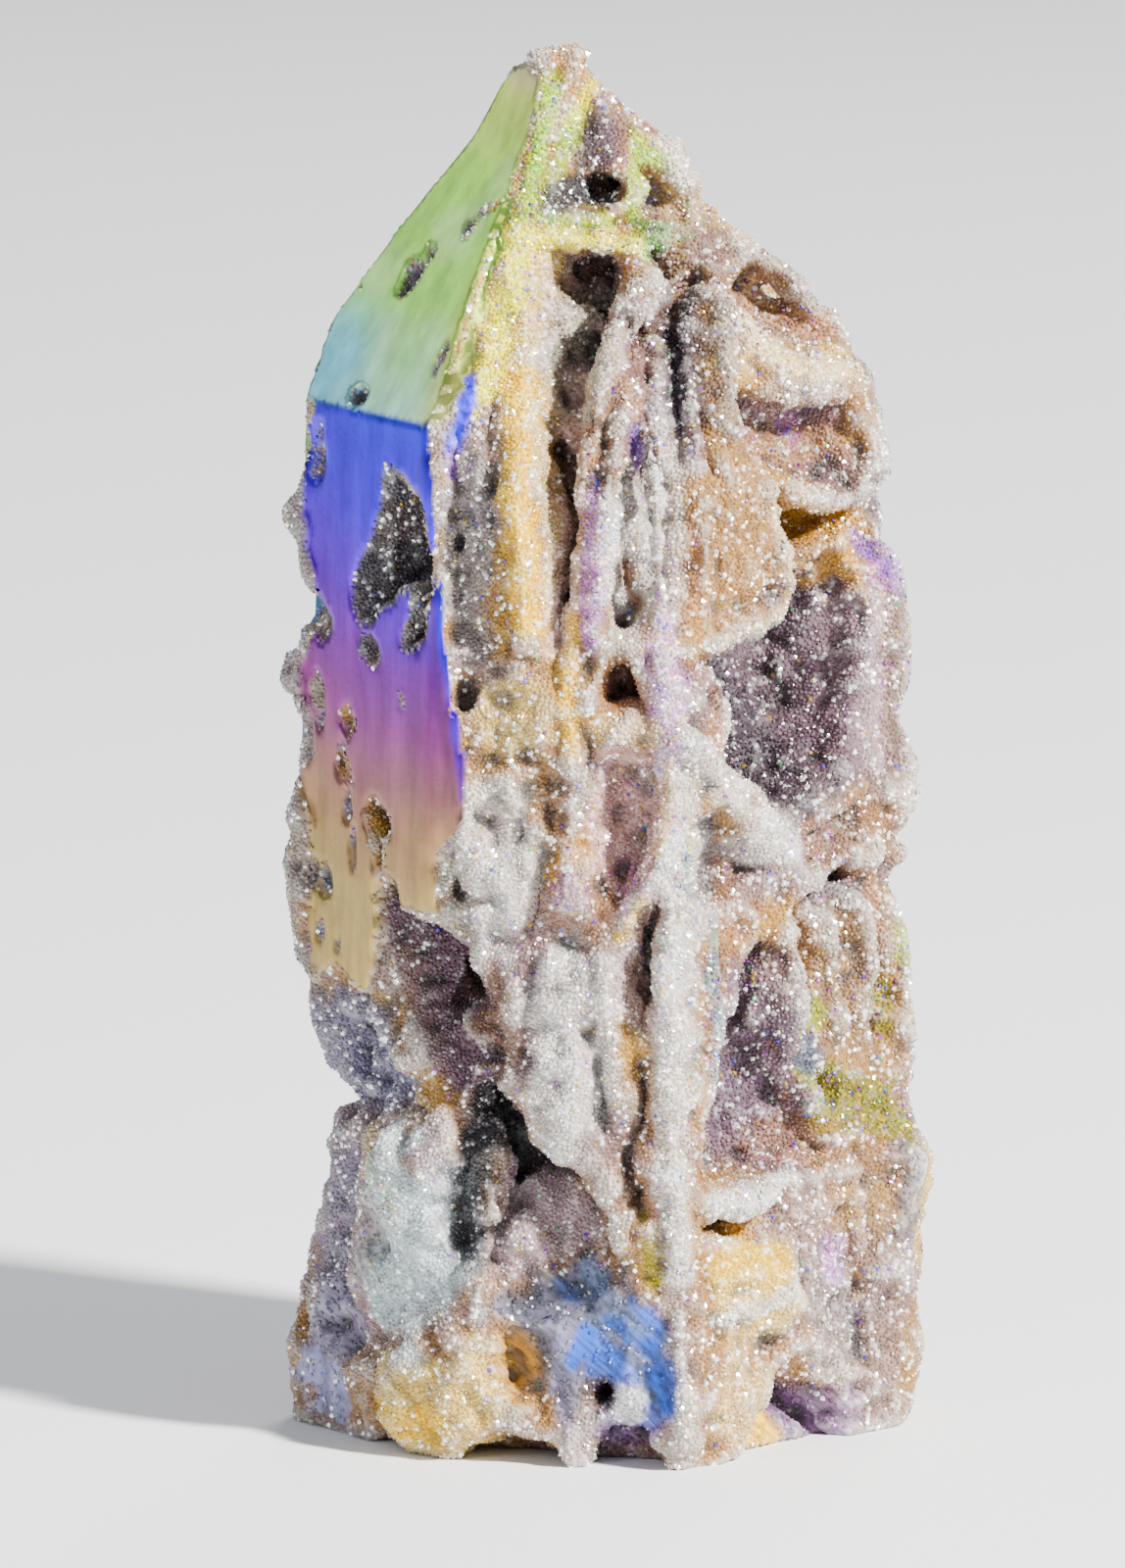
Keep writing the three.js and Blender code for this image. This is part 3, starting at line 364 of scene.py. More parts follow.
names = list(FACETS)
count = len(points)
polish = np.zeros(count)
normals = read_normals(stone.data)
left_places = on_side(points, "left")
middle_places = on_side(points, "middle")
line_places, line_heights = zip(*(BEVEL_ENDS + BLUE_LINE[::-1]))
for name in POLISHED:
    column = names.index(name)
    facing = normals @ facet_normal(name)
    on_facet = (nearest == column) & (np.abs(depths[:, column]) < FLAT_ENOUGH) & (facing > FACING_ENOUGH)
    if name == "left":
        ragged_end = POLISH_ENDS + 5 * smooth_step(left_places[:, 0], 1, 5)
        ragged_end += 3.5 * soft_noise(points, 3.5, 11)
        on_facet &= left_places[:, 0] > CHIPPED_BEYOND + 1.6 * soft_noise(points, 4, 13)
        ragged_width = FOOT_PATCH_WIDTH + 1.5 * soft_noise(points, 1.6, 14)
        on_foot = distance_to_line(left_places, FOOT_PATCH) < ragged_width
        on_facet &= (points[:, 2] > ragged_end) | on_foot
    if name == "left_edge":
        line_end = np.interp(points[:, 2], line_heights, line_places) + BLUE_LINE_WIDTH
        on_facet &= (left_places[:, 0] < line_end) & (points[:, 2] > line_heights[0])
    points[on_facet] += facet_normal(name) * depths[on_facet, column][:, None]
    polish[on_facet] = 1
    if name == "left":
        polish[on_facet & (points[:, 2] < FOOT_HEIGHT)] = FOOT_POLISH

left_column, bevel_column = names.index("left"), names.index("left_edge")
by_corner = 1 - smooth_step(np.abs(depths[:, left_column] - depths[:, bevel_column]), *CORNER_WIDTH)
by_corner *= polish * np.isin(nearest, [left_column, bevel_column])
for _ in range(CORNER_STEPS):
    points += 0.5 * by_corner[:, None] * (neighbour_mean(points, pairs, count) - points)

heights, edges = zip(*GREEN_ENDS)
over_edge = np.isin(nearest, [names.index("middle"), names.index("middle_top")])
over_edge &= (points[:, 2] > heights[0]) & (depth_under(points, "left_top") < GREEN_REACH)
over_edge &= middle_places[:, 0] < np.interp(points[:, 2], heights, edges) + 0.3 * soft_noise(points, 1.4, 15)
over_edge &= depths.min(axis=1) < GREEN_DEPTH
polish[over_edge] = 1

pitted = np.zeros(count)
for side, across, height, half_width, half_height, pit_depth in PITS:
    share = pit_share(points, side, across, height, half_width, half_height)
    share *= (np.abs(depth_under(points, side)) < 1) * polish
    points -= (share * pit_depth)[:, None] * facet_normal(side)
    pitted = np.maximum(pitted, share)
polish[pitted > 0.25] = 0

# the green facet is crowned, and the tip is a rounded knob with a dip on its right
crown = np.interp(points[:, 2], *zip(*CROWN))
crown *= 1 - smooth_step(depth_under(points, "left_top"), *CROWN_DEPTH)
points += crown[:, None] * facet_normal("left_top")
points[:, 2] += KNOB_RISE * smooth_step(points[:, 2], *KNOB_HEIGHTS)
dip = np.exp(-(((points[:, 2] - DIP_HEIGHT) / DIP_REACH) ** 2)) * smooth_step(points[:, 0], -0.5, 1.2)
points[:, 0] -= DIP * dip
on_base = (points[:, 2] < BASE_HEIGHT) & (normals[:, 2] < BASE_FACING)
points[on_base, 2] = 0
print("polished:", round(100 * float(polish.mean())), "% of the points,", len(PITS), "pits")

# %% [markdown]
# ## Folds
# The grown sides are full of upright ribs, thin walls, ledges and grooves, much finer than the big hollows
# that the CAD model has. Each is drawn as a line through a few places on a side: a positive lift makes a
# rib or a ledge, a negative one a groove. The points near a line move outwards or inwards, most on the line
# itself and less away from it, and a noise keeps the line from looking drawn.

# %% Draw the folds
FOLDS = [
    # side, lift, half width, places (across, height)
    # the point
    ("middle", 1.0, 0.9, [
        (-1.8, 108), (-2.7, 104), (-3.2, 100), (-4, 96), (-4.6, 92), (-5.3, 88), (-6.2, 84)]),
    ("middle", -0.6, 0.6, [(-1.1, 107), (-1.9, 104), (-2.4, 100)]),
    ("middle", 0.7, 0.6, [(0.5, 108), (-0.6, 105), (-1.5, 102), (-1.9, 98.6)]),
    ("middle", 0.7, 0.6, [(-1.4, 98.4), (0.6, 97.9), (3.4, 98)]),
    ("middle", -0.7, 0.35, [(0.4, 97.5), (3, 97.2), (6.4, 97.2)]),
    ("middle", 0.9, 0.6, [(-2.6, 97), (1, 96.4), (4, 96.2), (7.8, 96)]),
    ("middle", 0.6, 0.5, [(4.7, 97.4), (4.5, 101), (4.2, 105)]),
    ("middle", 0.6, 0.6, [(6.3, 97), (5.9, 101), (5.4, 104)]),
    ("middle", 0.7, 0.6, [(8, 96.4), (7.7, 99), (7.4, 102)]),
    ("middle", -0.5, 0.4, [(5.4, 98), (5.2, 103)]),
    ("middle", -1.0, 0.7, [(9.6, 99), (9.3, 97)]),
    ("middle", -2.0, 1.3, [(1.6, 105), (2, 102.8)]),
    ("middle", -2.4, 0.9, [(0.5, 100.3), (2.4, 100)]),
    ("middle", -2.4, 1.0, [
        (9.4, 97), (9.1, 95), (9, 93), (9.2, 91), (9.4, 89), (9.6, 87), (9.6, 85), (9.9, 82)]),
    ("right", -1.5, 1.5, [(0, 95.6), (-2, 91.4), (-3.4, 87), (-4, 83)]),
    # ribs of the middle side
    ("middle", -1.7, 1.2, [(-0.2, 91.8), (-0.1, 88), (0, 84.4)]),
    ("middle", -1.9, 1.2, [(3.4, 92), (3, 89.4), (2.4, 87)]),
    ("middle", -2.6, 1.5, [(1.6, 90), (1.2, 86), (1.1, 82), (1.3, 78), (1.7, 74), (1.5, 70), (1.3, 66)]),
    ("middle", -0.8, 0.6, [(-4.9, 86), (-4.6, 80), (-4.3, 72), (-4.4, 65)]),
    ("middle", -0.6, 0.5, [(-7.5, 82), (-7.4, 74), (-7, 66)]),
    ("middle", 1.3, 1.2, [(-2.2, 87), (-2.2, 80), (-2, 75), (-1.4, 71), (-1, 66)]),
    ("middle", 0.8, 0.5, [(-0.9, 86), (-0.8, 82), (-0.2, 78), (0.5, 74), (0.3, 70), (0.4, 66)]),
    ("middle", 1.4, 0.8, [
        (4.7, 91), (4.2, 87), (3.6, 83), (3, 79), (2.7, 74), (2.4, 68), (2.2, 62), (2.5, 56)]),
    ("middle", 0.9, 0.7, [(6.4, 93), (6.5, 88), (6.3, 84), (5.5, 80), (4.9, 75), (4.5, 70), (4.4, 66)]),
    ("middle", -1.1, 0.5, [(5.4, 91), (5.2, 86), (4.4, 82), (3.9, 78)]),
    ("middle", -1.5, 0.6, [(6.7, 83), (7.1, 80), (7.5, 77)]),
    ("middle", -1.3, 0.6, [(5.7, 72), (6, 70), (6.8, 68.6)]),
    ("middle", -0.7, 0.5, [(6.7, 91), (6.9, 86), (7.4, 80), (8.1, 73)]),
    ("middle", 1.1, 0.75, [
        (7.6, 94), (7.8, 91), (8, 87.5), (8.4, 82), (9.2, 76), (9.6, 70), (9.6, 65), (10, 60)]),
    ("middle", 1.2, 1.0, [(-5.6, 64.2), (-3, 64.2), (-1, 63), (0.6, 61), (0.4, 58)]),
    ("middle", 0.6, 0.6, [(5.5, 65.6), (4.4, 63.2), (3.4, 60)]),
    ("middle", 0.6, 0.6, [(6.7, 65.6), (8.4, 62.9), (9.6, 61.2)]),
    ("middle", 1.0, 0.8, [(4.2, 59.3), (6, 59.2), (9.6, 59.2)]),
    ("middle", 1.3, 2.2, [(6.6, 55), (6.8, 51), (6.8, 47.6)]),
    ("middle", -1.0, 0.45, [(3.7, 57.6), (4.1, 54), (4.4, 50), (4.8, 46)]),
    ("middle", -1.8, 1.0, [(9.2, 45), (8, 42), (7.2, 39.4), (8.2, 36)]),
    ("middle", 0.8, 0.5, [(10.4, 58), (10.2, 53), (9.5, 50), (8.6, 46.6), (7.4, 44.4), (6, 42)]),
    ("middle", -1.2, 0.35, [(0.2, 54.8), (0.2, 52), (1, 50.3)]),
    ("middle", -0.8, 0.7, [(-0.2, 49), (-0.4, 45), (-0.8, 42)]),
    ("middle", 1.0, 1.2, [(-3, 54), (-3.4, 49), (-2.6, 44)]),
    ("middle", 0.8, 1.0, [(-6, 52), (-5.6, 47), (-4.4, 42)]),
    ("middle", 0.8, 0.9, [(2.6, 54), (2.8, 49), (2.4, 45)]),
    ("middle", 1.0, 0.9, [(-7, 39.4), (-5, 37.6), (-3.4, 36.4), (-2.4, 35)]),
    ("middle", 1.0, 0.9, [(-7.6, 33.6), (-5.4, 33.8), (-3.4, 33)]),
    ("middle", -0.9, 0.7, [(-6.6, 36), (-4.6, 35), (-3, 34.4)]),
    # the white lobe and the cracks beside it
    ("middle", 1.3, 2.0, [(2.4, 39), (1.6, 35), (1.2, 31), (2.2, 27)]),
    ("middle", 0.8, 0.9, [(5.4, 40), (5.7, 35), (6, 31), (6.6, 27.6)]),
    ("middle", -0.9, 0.5, [(4.6, 36), (4.6, 32), (4.9, 28), (5.6, 24.6)]),
    ("middle", -0.7, 0.5, [(-0.6, 40), (-1.2, 36), (-1.6, 32)]),
    ("middle", -1.7, 0.55, [(7.8, 33), (8.3, 30), (7.8, 27.4), (7, 25.4), (7, 23), (8, 21.2)]),
    ("middle", 0.7, 0.8, [(9.4, 49), (9.6, 44), (9.4, 40), (9, 36)]),
    ("middle", 1.2, 1.1, [
        (10.6, 57), (10.5, 50), (10.5, 42), (10.7, 34), (10.9, 26), (11.2, 18), (11.6, 8), (11.8, 2)]),
    ("middle", 0.8, 0.7, [(8.6, 26), (9, 22), (8.8, 18)]),
    # the cave's lower end and the worn ground at the foot
    ("middle", -3.2, 1.5, [(-5.2, 27.6), (-6, 24), (-6.9, 20.5), (-6.5, 17.4)]),
    ("middle", 0.8, 1.5, [(-8.9, 26), (-9.6, 21), (-9.4, 16)]),
    ("middle", 0.7, 1.2, [(5.6, 22), (5, 19), (3.4, 16.4)]),
    ("middle", -0.5, 0.6, [(0.8, 19), (1.8, 15), (4, 12.6)]),
    ("middle", 0.6, 1.2, [(-1.4, 21), (-2.4, 17), (-4.6, 14)]),
    ("middle", 0.7, 0.9, [(0.6, 9), (0.8, 6), (1.6, 3)]),
    ("middle", -0.6, 0.5, [(-0.2, 9.4), (-0.2, 6), (0.2, 4.4)]),
    ("middle", 0.6, 0.9, [(7.2, 8.6), (7.6, 6.4)]),
    ("middle", -0.6, 0.5, [(8.2, 9), (8.6, 7), (9.4, 5)]),
    # right side, upper part
    ("right", -1.2, 1.0, [(-2.4, 97.4), (0.6, 97)]),
    ("right", 1.2, 1.0, [(2.4, 97), (1.6, 94.6), (1.4, 92), (0.6, 90), (-0.8, 88), (-1.8, 86), (-2.2, 82)]),
    ("right", 1.6, 0.9, [(1.4, 90.4), (2.2, 88.2), (4, 86.8), (7, 86), (11, 85.8), (15, 85.4)]),
    ("right", -0.9, 1.7, [(4, 91.4), (8, 89.4), (12, 88)]),
    ("right", 0.8, 1.0, [(4, 96.6), (8, 94), (12, 91.4), (16, 88.4)]),
    ("right", -1.1, 1.9, [(0.4, 83.6), (4, 82.2), (8, 81.8), (13, 81.8)]),
    ("right", 0.8, 1.1, [(3, 80), (7, 79), (11, 78.6)]),
    ("right", -1.3, 0.5, [(-4.4, 82), (-4.3, 79)]),
    ("right", 0.7, 0.8, [(-5.9, 82), (-6, 75), (-6, 67)]),
    ("right", 0.7, 0.7, [(-2.8, 81), (-2.4, 76), (-1.4, 71)]),
    ("right", -0.5, 0.6, [(-4, 77), (-4, 70)]),
    ("right", 1.5, 0.8, [(1.2, 77), (2.6, 74), (3, 70.4), (2.6, 68), (0, 66.8), (-3, 66.2), (-5.4, 65.2)]),
    ("right", 1.5, 0.8, [(2, 78.6), (4.2, 77.6), (7, 76.4), (10, 75.4), (13.4, 75.6)]),
    ("right", -1.6, 1.6, [(2.6, 75.4), (5, 74), (8, 73), (11.4, 72.4)]),
    ("right", -1.6, 1.1, [(4.4, 71.8), (6.6, 71.4)]),
    ("right", 1.2, 0.7, [(3.6, 68.6), (6, 70.4), (8.4, 71.8), (12, 72.2)]),
    ("right", 1.0, 0.9, [(14.4, 70.6), (15, 66), (14.8, 61), (15.2, 56), (15.2, 50)]),
    # right side, middle part
    ("right", 1.5, 1.1, [
        (-9, 58), (-6.4, 55.6), (-4.4, 53.2), (-2.2, 51.6), (0.8, 49.6), (3.2, 47), (5.2, 44.8)]),
    ("right", -0.9, 0.4, [(-0.8, 48.4), (0.2, 46.4)]),
    ("right", 0.9, 0.8, [(6.2, 46.2), (8.4, 47.2), (11, 48.4)]),
    ("right", -1.8, 0.7, [(5.4, 44.3), (7.4, 44.2), (10, 45)]),
    ("right", -1.5, 0.7, [(4.3, 42.8), (5.3, 41.8)]),
    ("right", -1.1, 2.2, [(0.8, 39.6), (0, 36), (-1.8, 32), (-2.8, 28), (-2.6, 24.6)]),
    ("right", 0.9, 0.8, [(-6.6, 44), (-6, 38), (-6.8, 32), (-7.6, 26)]),
    ("right", 1.0, 0.7, [(2.8, 42), (3.2, 38), (3.8, 34.4)]),
    ("right", -1.4, 0.6, [(5, 39.6), (4.9, 37.6), (5.4, 35.4)]),
    ("right", 1.2, 0.9, [(7, 42), (7.4, 37.6), (8, 33.4)]),
    ("right", 1.1, 1.0, [(10.4, 43), (11, 38.4), (10.8, 34)]),
    ("right", -1.1, 0.6, [(12.7, 39), (12.9, 34), (12.8, 29)]),
    ("right", 1.0, 0.9, [(14.6, 43), (15.5, 38), (15.5, 32)]),
    ("right", -1.2, 0.9, [(4.8, 31.4), (6, 28.8)]),
    # right side, foot
    ("right", 1.5, 0.8, [(-8, 21.2), (-5, 21), (-2, 21.4), (1.6, 22.4)]),
    ("right", -1.5, 0.6, [(-7.6, 19.3), (-4, 19), (-0.8, 20)]),
    ("right", 0.9, 2.2, [(-5.4, 14.6), (-2.4, 14.4), (0.8, 13.6)]),
    ("right", -0.9, 0.5, [(3, 17), (3.6, 12.6), (2.6, 9.8), (0, 8.6), (-3, 9.2), (-7, 10)]),
    ("right", 0.8, 2.2, [(-5.6, 5), (-2.6, 4.6)]),
    ("right", -2.4, 1.3, [(0.8, 4.4), (2.4, 4.8), (4.6, 3.2), (7, 1.6)]),
    ("right", 0.8, 1.4, [(6, 8.4), (7.6, 12), (8.6, 16.4)]),
    ("right", -1.0, 0.6, [(10.8, 22), (11.2, 16), (11.4, 11), (11.4, 5)]),
    ("right", 1.0, 1.8, [(14.4, 22), (15, 17), (14.4, 13)]),
    # left side, below the polish
    ("left", -3.2, 2.2, [(1.2, 43), (3.2, 39.6), (5.4, 36.6), (6.8, 33.6), (7.4, 30.8)]),
    ("left", 0.9, 1.1, [(-6.4, 34), (-5, 31), (-6.4, 28)]),
    ("left", 0.8, 0.9, [(-2.4, 35), (-0.6, 32), (1, 29.4)]),
    ("left", -0.9, 0.6, [(-3.4, 33.6), (-3, 30)]),
    ("left", 1.0, 1.0, [(3.6, 32), (6, 30.4), (8.6, 30)]),
    ("left", -1.5, 1.0, [(-8, 26.6), (-4, 26.8), (0.4, 27.6), (5, 27)]),
    ("left", 0.9, 1.6, [(-3, 24), (-2.2, 19), (-3, 13)]),
    ("left", 0.9, 1.4, [(3, 24), (4, 19), (4.4, 12)]),
    ("left", -0.9, 0.6, [(0.4, 24), (0.6, 18), (0.2, 12)]),
    ("left", -0.8, 0.7, [(-5.4, 22), (-6, 17), (-6.6, 13)]),
    ("left", -1.0, 0.6, [(1.2, 10), (1, 5), (1, 1)]),
    ("left", 1.2, 2.4, [(5, 8), (5, 3)]),
    ("left", 0.7, 1.4, [(-8.4, 12), (-9, 8)]),
    # the outline at the left and the right
    ("left corner", -1.0, 2.0, [(-2, 79), (4, 79)]),
    ("left corner", -1.6, 1.8, [(-2, 66), (4, 66)]),
    ("left corner", -1.1, 1.6, [(-2, 56), (4, 56)]),
    ("left corner", 0.7, 1.6, [(1, 74), (1, 72)]),
    ("left corner", 0.8, 1.6, [(1, 61), (1, 59)]),
    ("left corner", 0.9, 2.0, [(1, 50), (1, 42)]),
    ("left corner", -1.5, 1.8, [(-3, 26.4), (5, 26.4)]),
    ("right corner", 1.1, 1.4, [(-6, 103.4), (3, 103)]),
    ("right corner", -1.8, 1.5, [(-5, 97.4), (3, 98.2)]),
    ("right corner", -1.2, 1.6, [(-3, 75), (4, 75)]),
    ("right corner", -0.9, 1.6, [(-3, 44), (4, 44)]),
    ("right corner", 0.9, 2.0, [(0, 67), (0, 62)]),
    ("right corner", -1.0, 1.8, [(-3, 9), (4, 9)]),
    # back right side
    ("back_right", 1.3, 1.0, [(-9, 80), (-8.4, 70), (-9.4, 58), (-8, 46)]),
    ("back_right", 1.2, 0.9, [(-4, 84), (-3, 76), (-4.4, 66), (-3, 58)]),
    ("back_right", -1.5, 1.0, [(-6.4, 78), (-6, 70), (-6.8, 60)]),
    ("back_right", 1.4, 1.0, [(2, 82), (3, 72), (1.4, 62), (2.6, 52), (1.6, 42)]),
    ("back_right", -1.4, 0.9, [(-0.8, 74), (-1, 64), (-0.4, 55)]),
    ("back_right", 1.2, 0.9, [(8, 78), (7, 66), (8.4, 56), (7, 44), (8, 32)]),
    ("back_right", -1.2, 0.9, [(5.2, 68), (5, 56), (5.6, 46)]),
    ("back_right", 1.3, 1.0, [(-8, 38), (-3, 36.4), (2, 37.6), (7, 36)]),
    ("back_right", -1.2, 0.8, [(-7, 34.6), (-2, 33.6), (3, 34.4)]),
    ("back_right", 1.1, 1.2, [(-5, 28), (-4, 20), (-5.4, 12), (-4.6, 5)]),
    ("back_right", -1.1, 0.8, [(-1.6, 28), (-1, 18), (-2, 8)]),
    ("back_right", 1.1, 1.2, [(2.4, 28), (1.8, 18), (2.8, 9)]),
    ("back_right", -1.0, 0.8, [(5.6, 26), (6, 16), (5.4, 6)]),
]
RAGGEDNESS = 0.3


def fold_lift(places):
    """How each place moves for all the folds, as a way in space and as a height, both in mm."""
    shift = np.zeros((len(places), 3))
    rise = np.zeros(len(places))
    under_surface = np.stack([depth_under(places, name) for name in FACETS], axis=1).min(axis=1)
    near_surface = 1 - smooth_step(under_surface, 3.5, 7)
    ragged = 1 + RAGGEDNESS * soft_noise(places, 1.6, 41)
    along = 1 + 0.35 * soft_noise(places, 4, 42)
    for side, lift, half_width, line in FOLDS:
        outwards = side_axes(side)[1]
        in_front = smooth_step(places @ outwards, 2, 6)
        distance = distance_to_line(on_side(places, side), line) * ragged / half_width
        amount = lift * along * np.exp(-(distance**2)) * near_surface * in_front
        shift += amount[:, None] * outwards
        rise += amount
    return shift, rise


# %% Ease the rims, press in the folds and grow the knobs
RIM_STEPS = 2
EASING_STEPS = 4
SOFTENING_STEPS = 2
BROAD_KNOBS = (5.5, 0.5)
KNOBS = (2.4, 0.5)
SMALL_KNOBS = (1.2, 0.42)
WORN_GROUND = ("middle", 4.6, 8.6, 7.5, 7)

grown = 1 - polish
grown[on_base] = 0
soft_grown = grown.copy()
for _ in range(RIM_STEPS):
    soft_grown = np.minimum(grown, 0.4 * soft_grown + 0.6 * neighbour_mean(soft_grown, pairs, count))
for _ in range(EASING_STEPS):
    points += 0.5 * soft_grown[:, None] * (neighbour_mean(points, pairs, count) - points)

shift, rise = fold_lift(points)
points += shift * soft_grown[:, None]
rise *= soft_grown
for _ in range(SOFTENING_STEPS):
    points += 0.5 * soft_grown[:, None] * (neighbour_mean(points, pairs, count) - points)
write_points(stone.data, points)

normals = read_normals(stone.data)
lift = BROAD_KNOBS[1] * soft_noise(points, BROAD_KNOBS[0], 1)
lift += KNOBS[1] * (1 - 2 * np.abs(soft_noise(points, KNOBS[0], 2)))
lift += SMALL_KNOBS[1] * soft_noise(points, SMALL_KNOBS[0], 3)
lift *= 1 - 0.7 * pit_share(points, *WORN_GROUND)
points += (lift * soft_grown)[:, None] * normals
points[:, 2] = np.maximum(points[:, 2], 0)
write_points(stone.data, points)
depths = np.stack([depth_under(points, name) for name in FACETS], axis=1)
depth = depths.min(axis=1)
print("folds from", round(float(rise.min()), 2), "to", round(float(rise.max()), 2), "mm")
print("knobs from", round(float(lift.min()), 2), "to", round(float(lift.max()), 2), "mm")

# %% [markdown]
# ## Colours of the crust
# The druse is tan where it grew thick. Its outer ridges and bumps are painted whitish, as painted highlight,
# and its hollows, creases and grooves mauve to brown, as painted shade; deeper in the hollows the mauve is
# partly the crust's own colour. On top of that the coating and the iron in the stone make patches: a golden
# column, a rusty panel, a purple rim, a patch of gold glitter. A few patches and strokes are painted shade in
# clefts, a window, the cave and under the foot, and a few lighten shaded recesses as painted light. Each
# patch
# is one line: side, distance across, height, half width, half height, colour, strength, how thick the
# crystals grow there and how much they glitter. A patch fades at its edge, and a noise makes its outline
# ragged. All of it ends up in attributes, which are numbers kept at each point of the mesh and which the
# materials can read.

# %% Name the colours
COLOURS = {
    "white": "dcdad6",
    "cream": "dcc090",
    "tan": "9a764e",
    "pink tan": "966e50",
    "gold tan": "f0c42c",
    "golden white": "ecd088",
    "mauve": "6a525e",
    "dark mauve": "544450",
    "brown": "7c5a44",
    "dark brown": "4c3c36",
    "red brown": "a0765e",
    "orange": "c08424",
    "lilac": "c088c8",
    "magenta": "a650a8",
    "purple": "7350a0",
    "grey lilac": "74748e",
    "grey": "8e8a8c",
    "blue grey": "6c7c9c",
    "ultramarine": "2d22e0",
    "teal": "4f8c92",
    "green glitter": "9cbc10",
    "gold glitter": "787200",
    # moss is lighter than the cleft's own colour, to offset its shade: partly painted light
    "moss": "b0a898",
    "lemon": "f2ec58",
    "rose": "dcb6b0",
    "cool white": "ccd8da",
    "steel blue": "2a58bc",
    "gold brown": "b0864c",
    "charcoal": "2e2c30",
    "dull tan": "846a54",
    "dull brown": "826c64",
    "pale green": "b4f48c",
    "slate": "4e586e",
    "plum": "70587c",
    "pale mauve": "ac989c",
    "pinkish grey": "cfb4aa",
    "deep mauve": "2a1e28",
    "graphite": "504c52",
}


def linear(code):
    """A colour written as six hexadecimal digits, in the linear values that Blender works with."""
    values = np.array([int(code[start : start + 2], 16) / 255 for start in (0, 2, 4)])
    return np.where(values <= 0.04045, values / 12.92, ((values + 0.055) / 1.055) ** 2.4)


palette = {name: linear(code) for name, code in COLOURS.items()}
print(len(palette), "colours named")

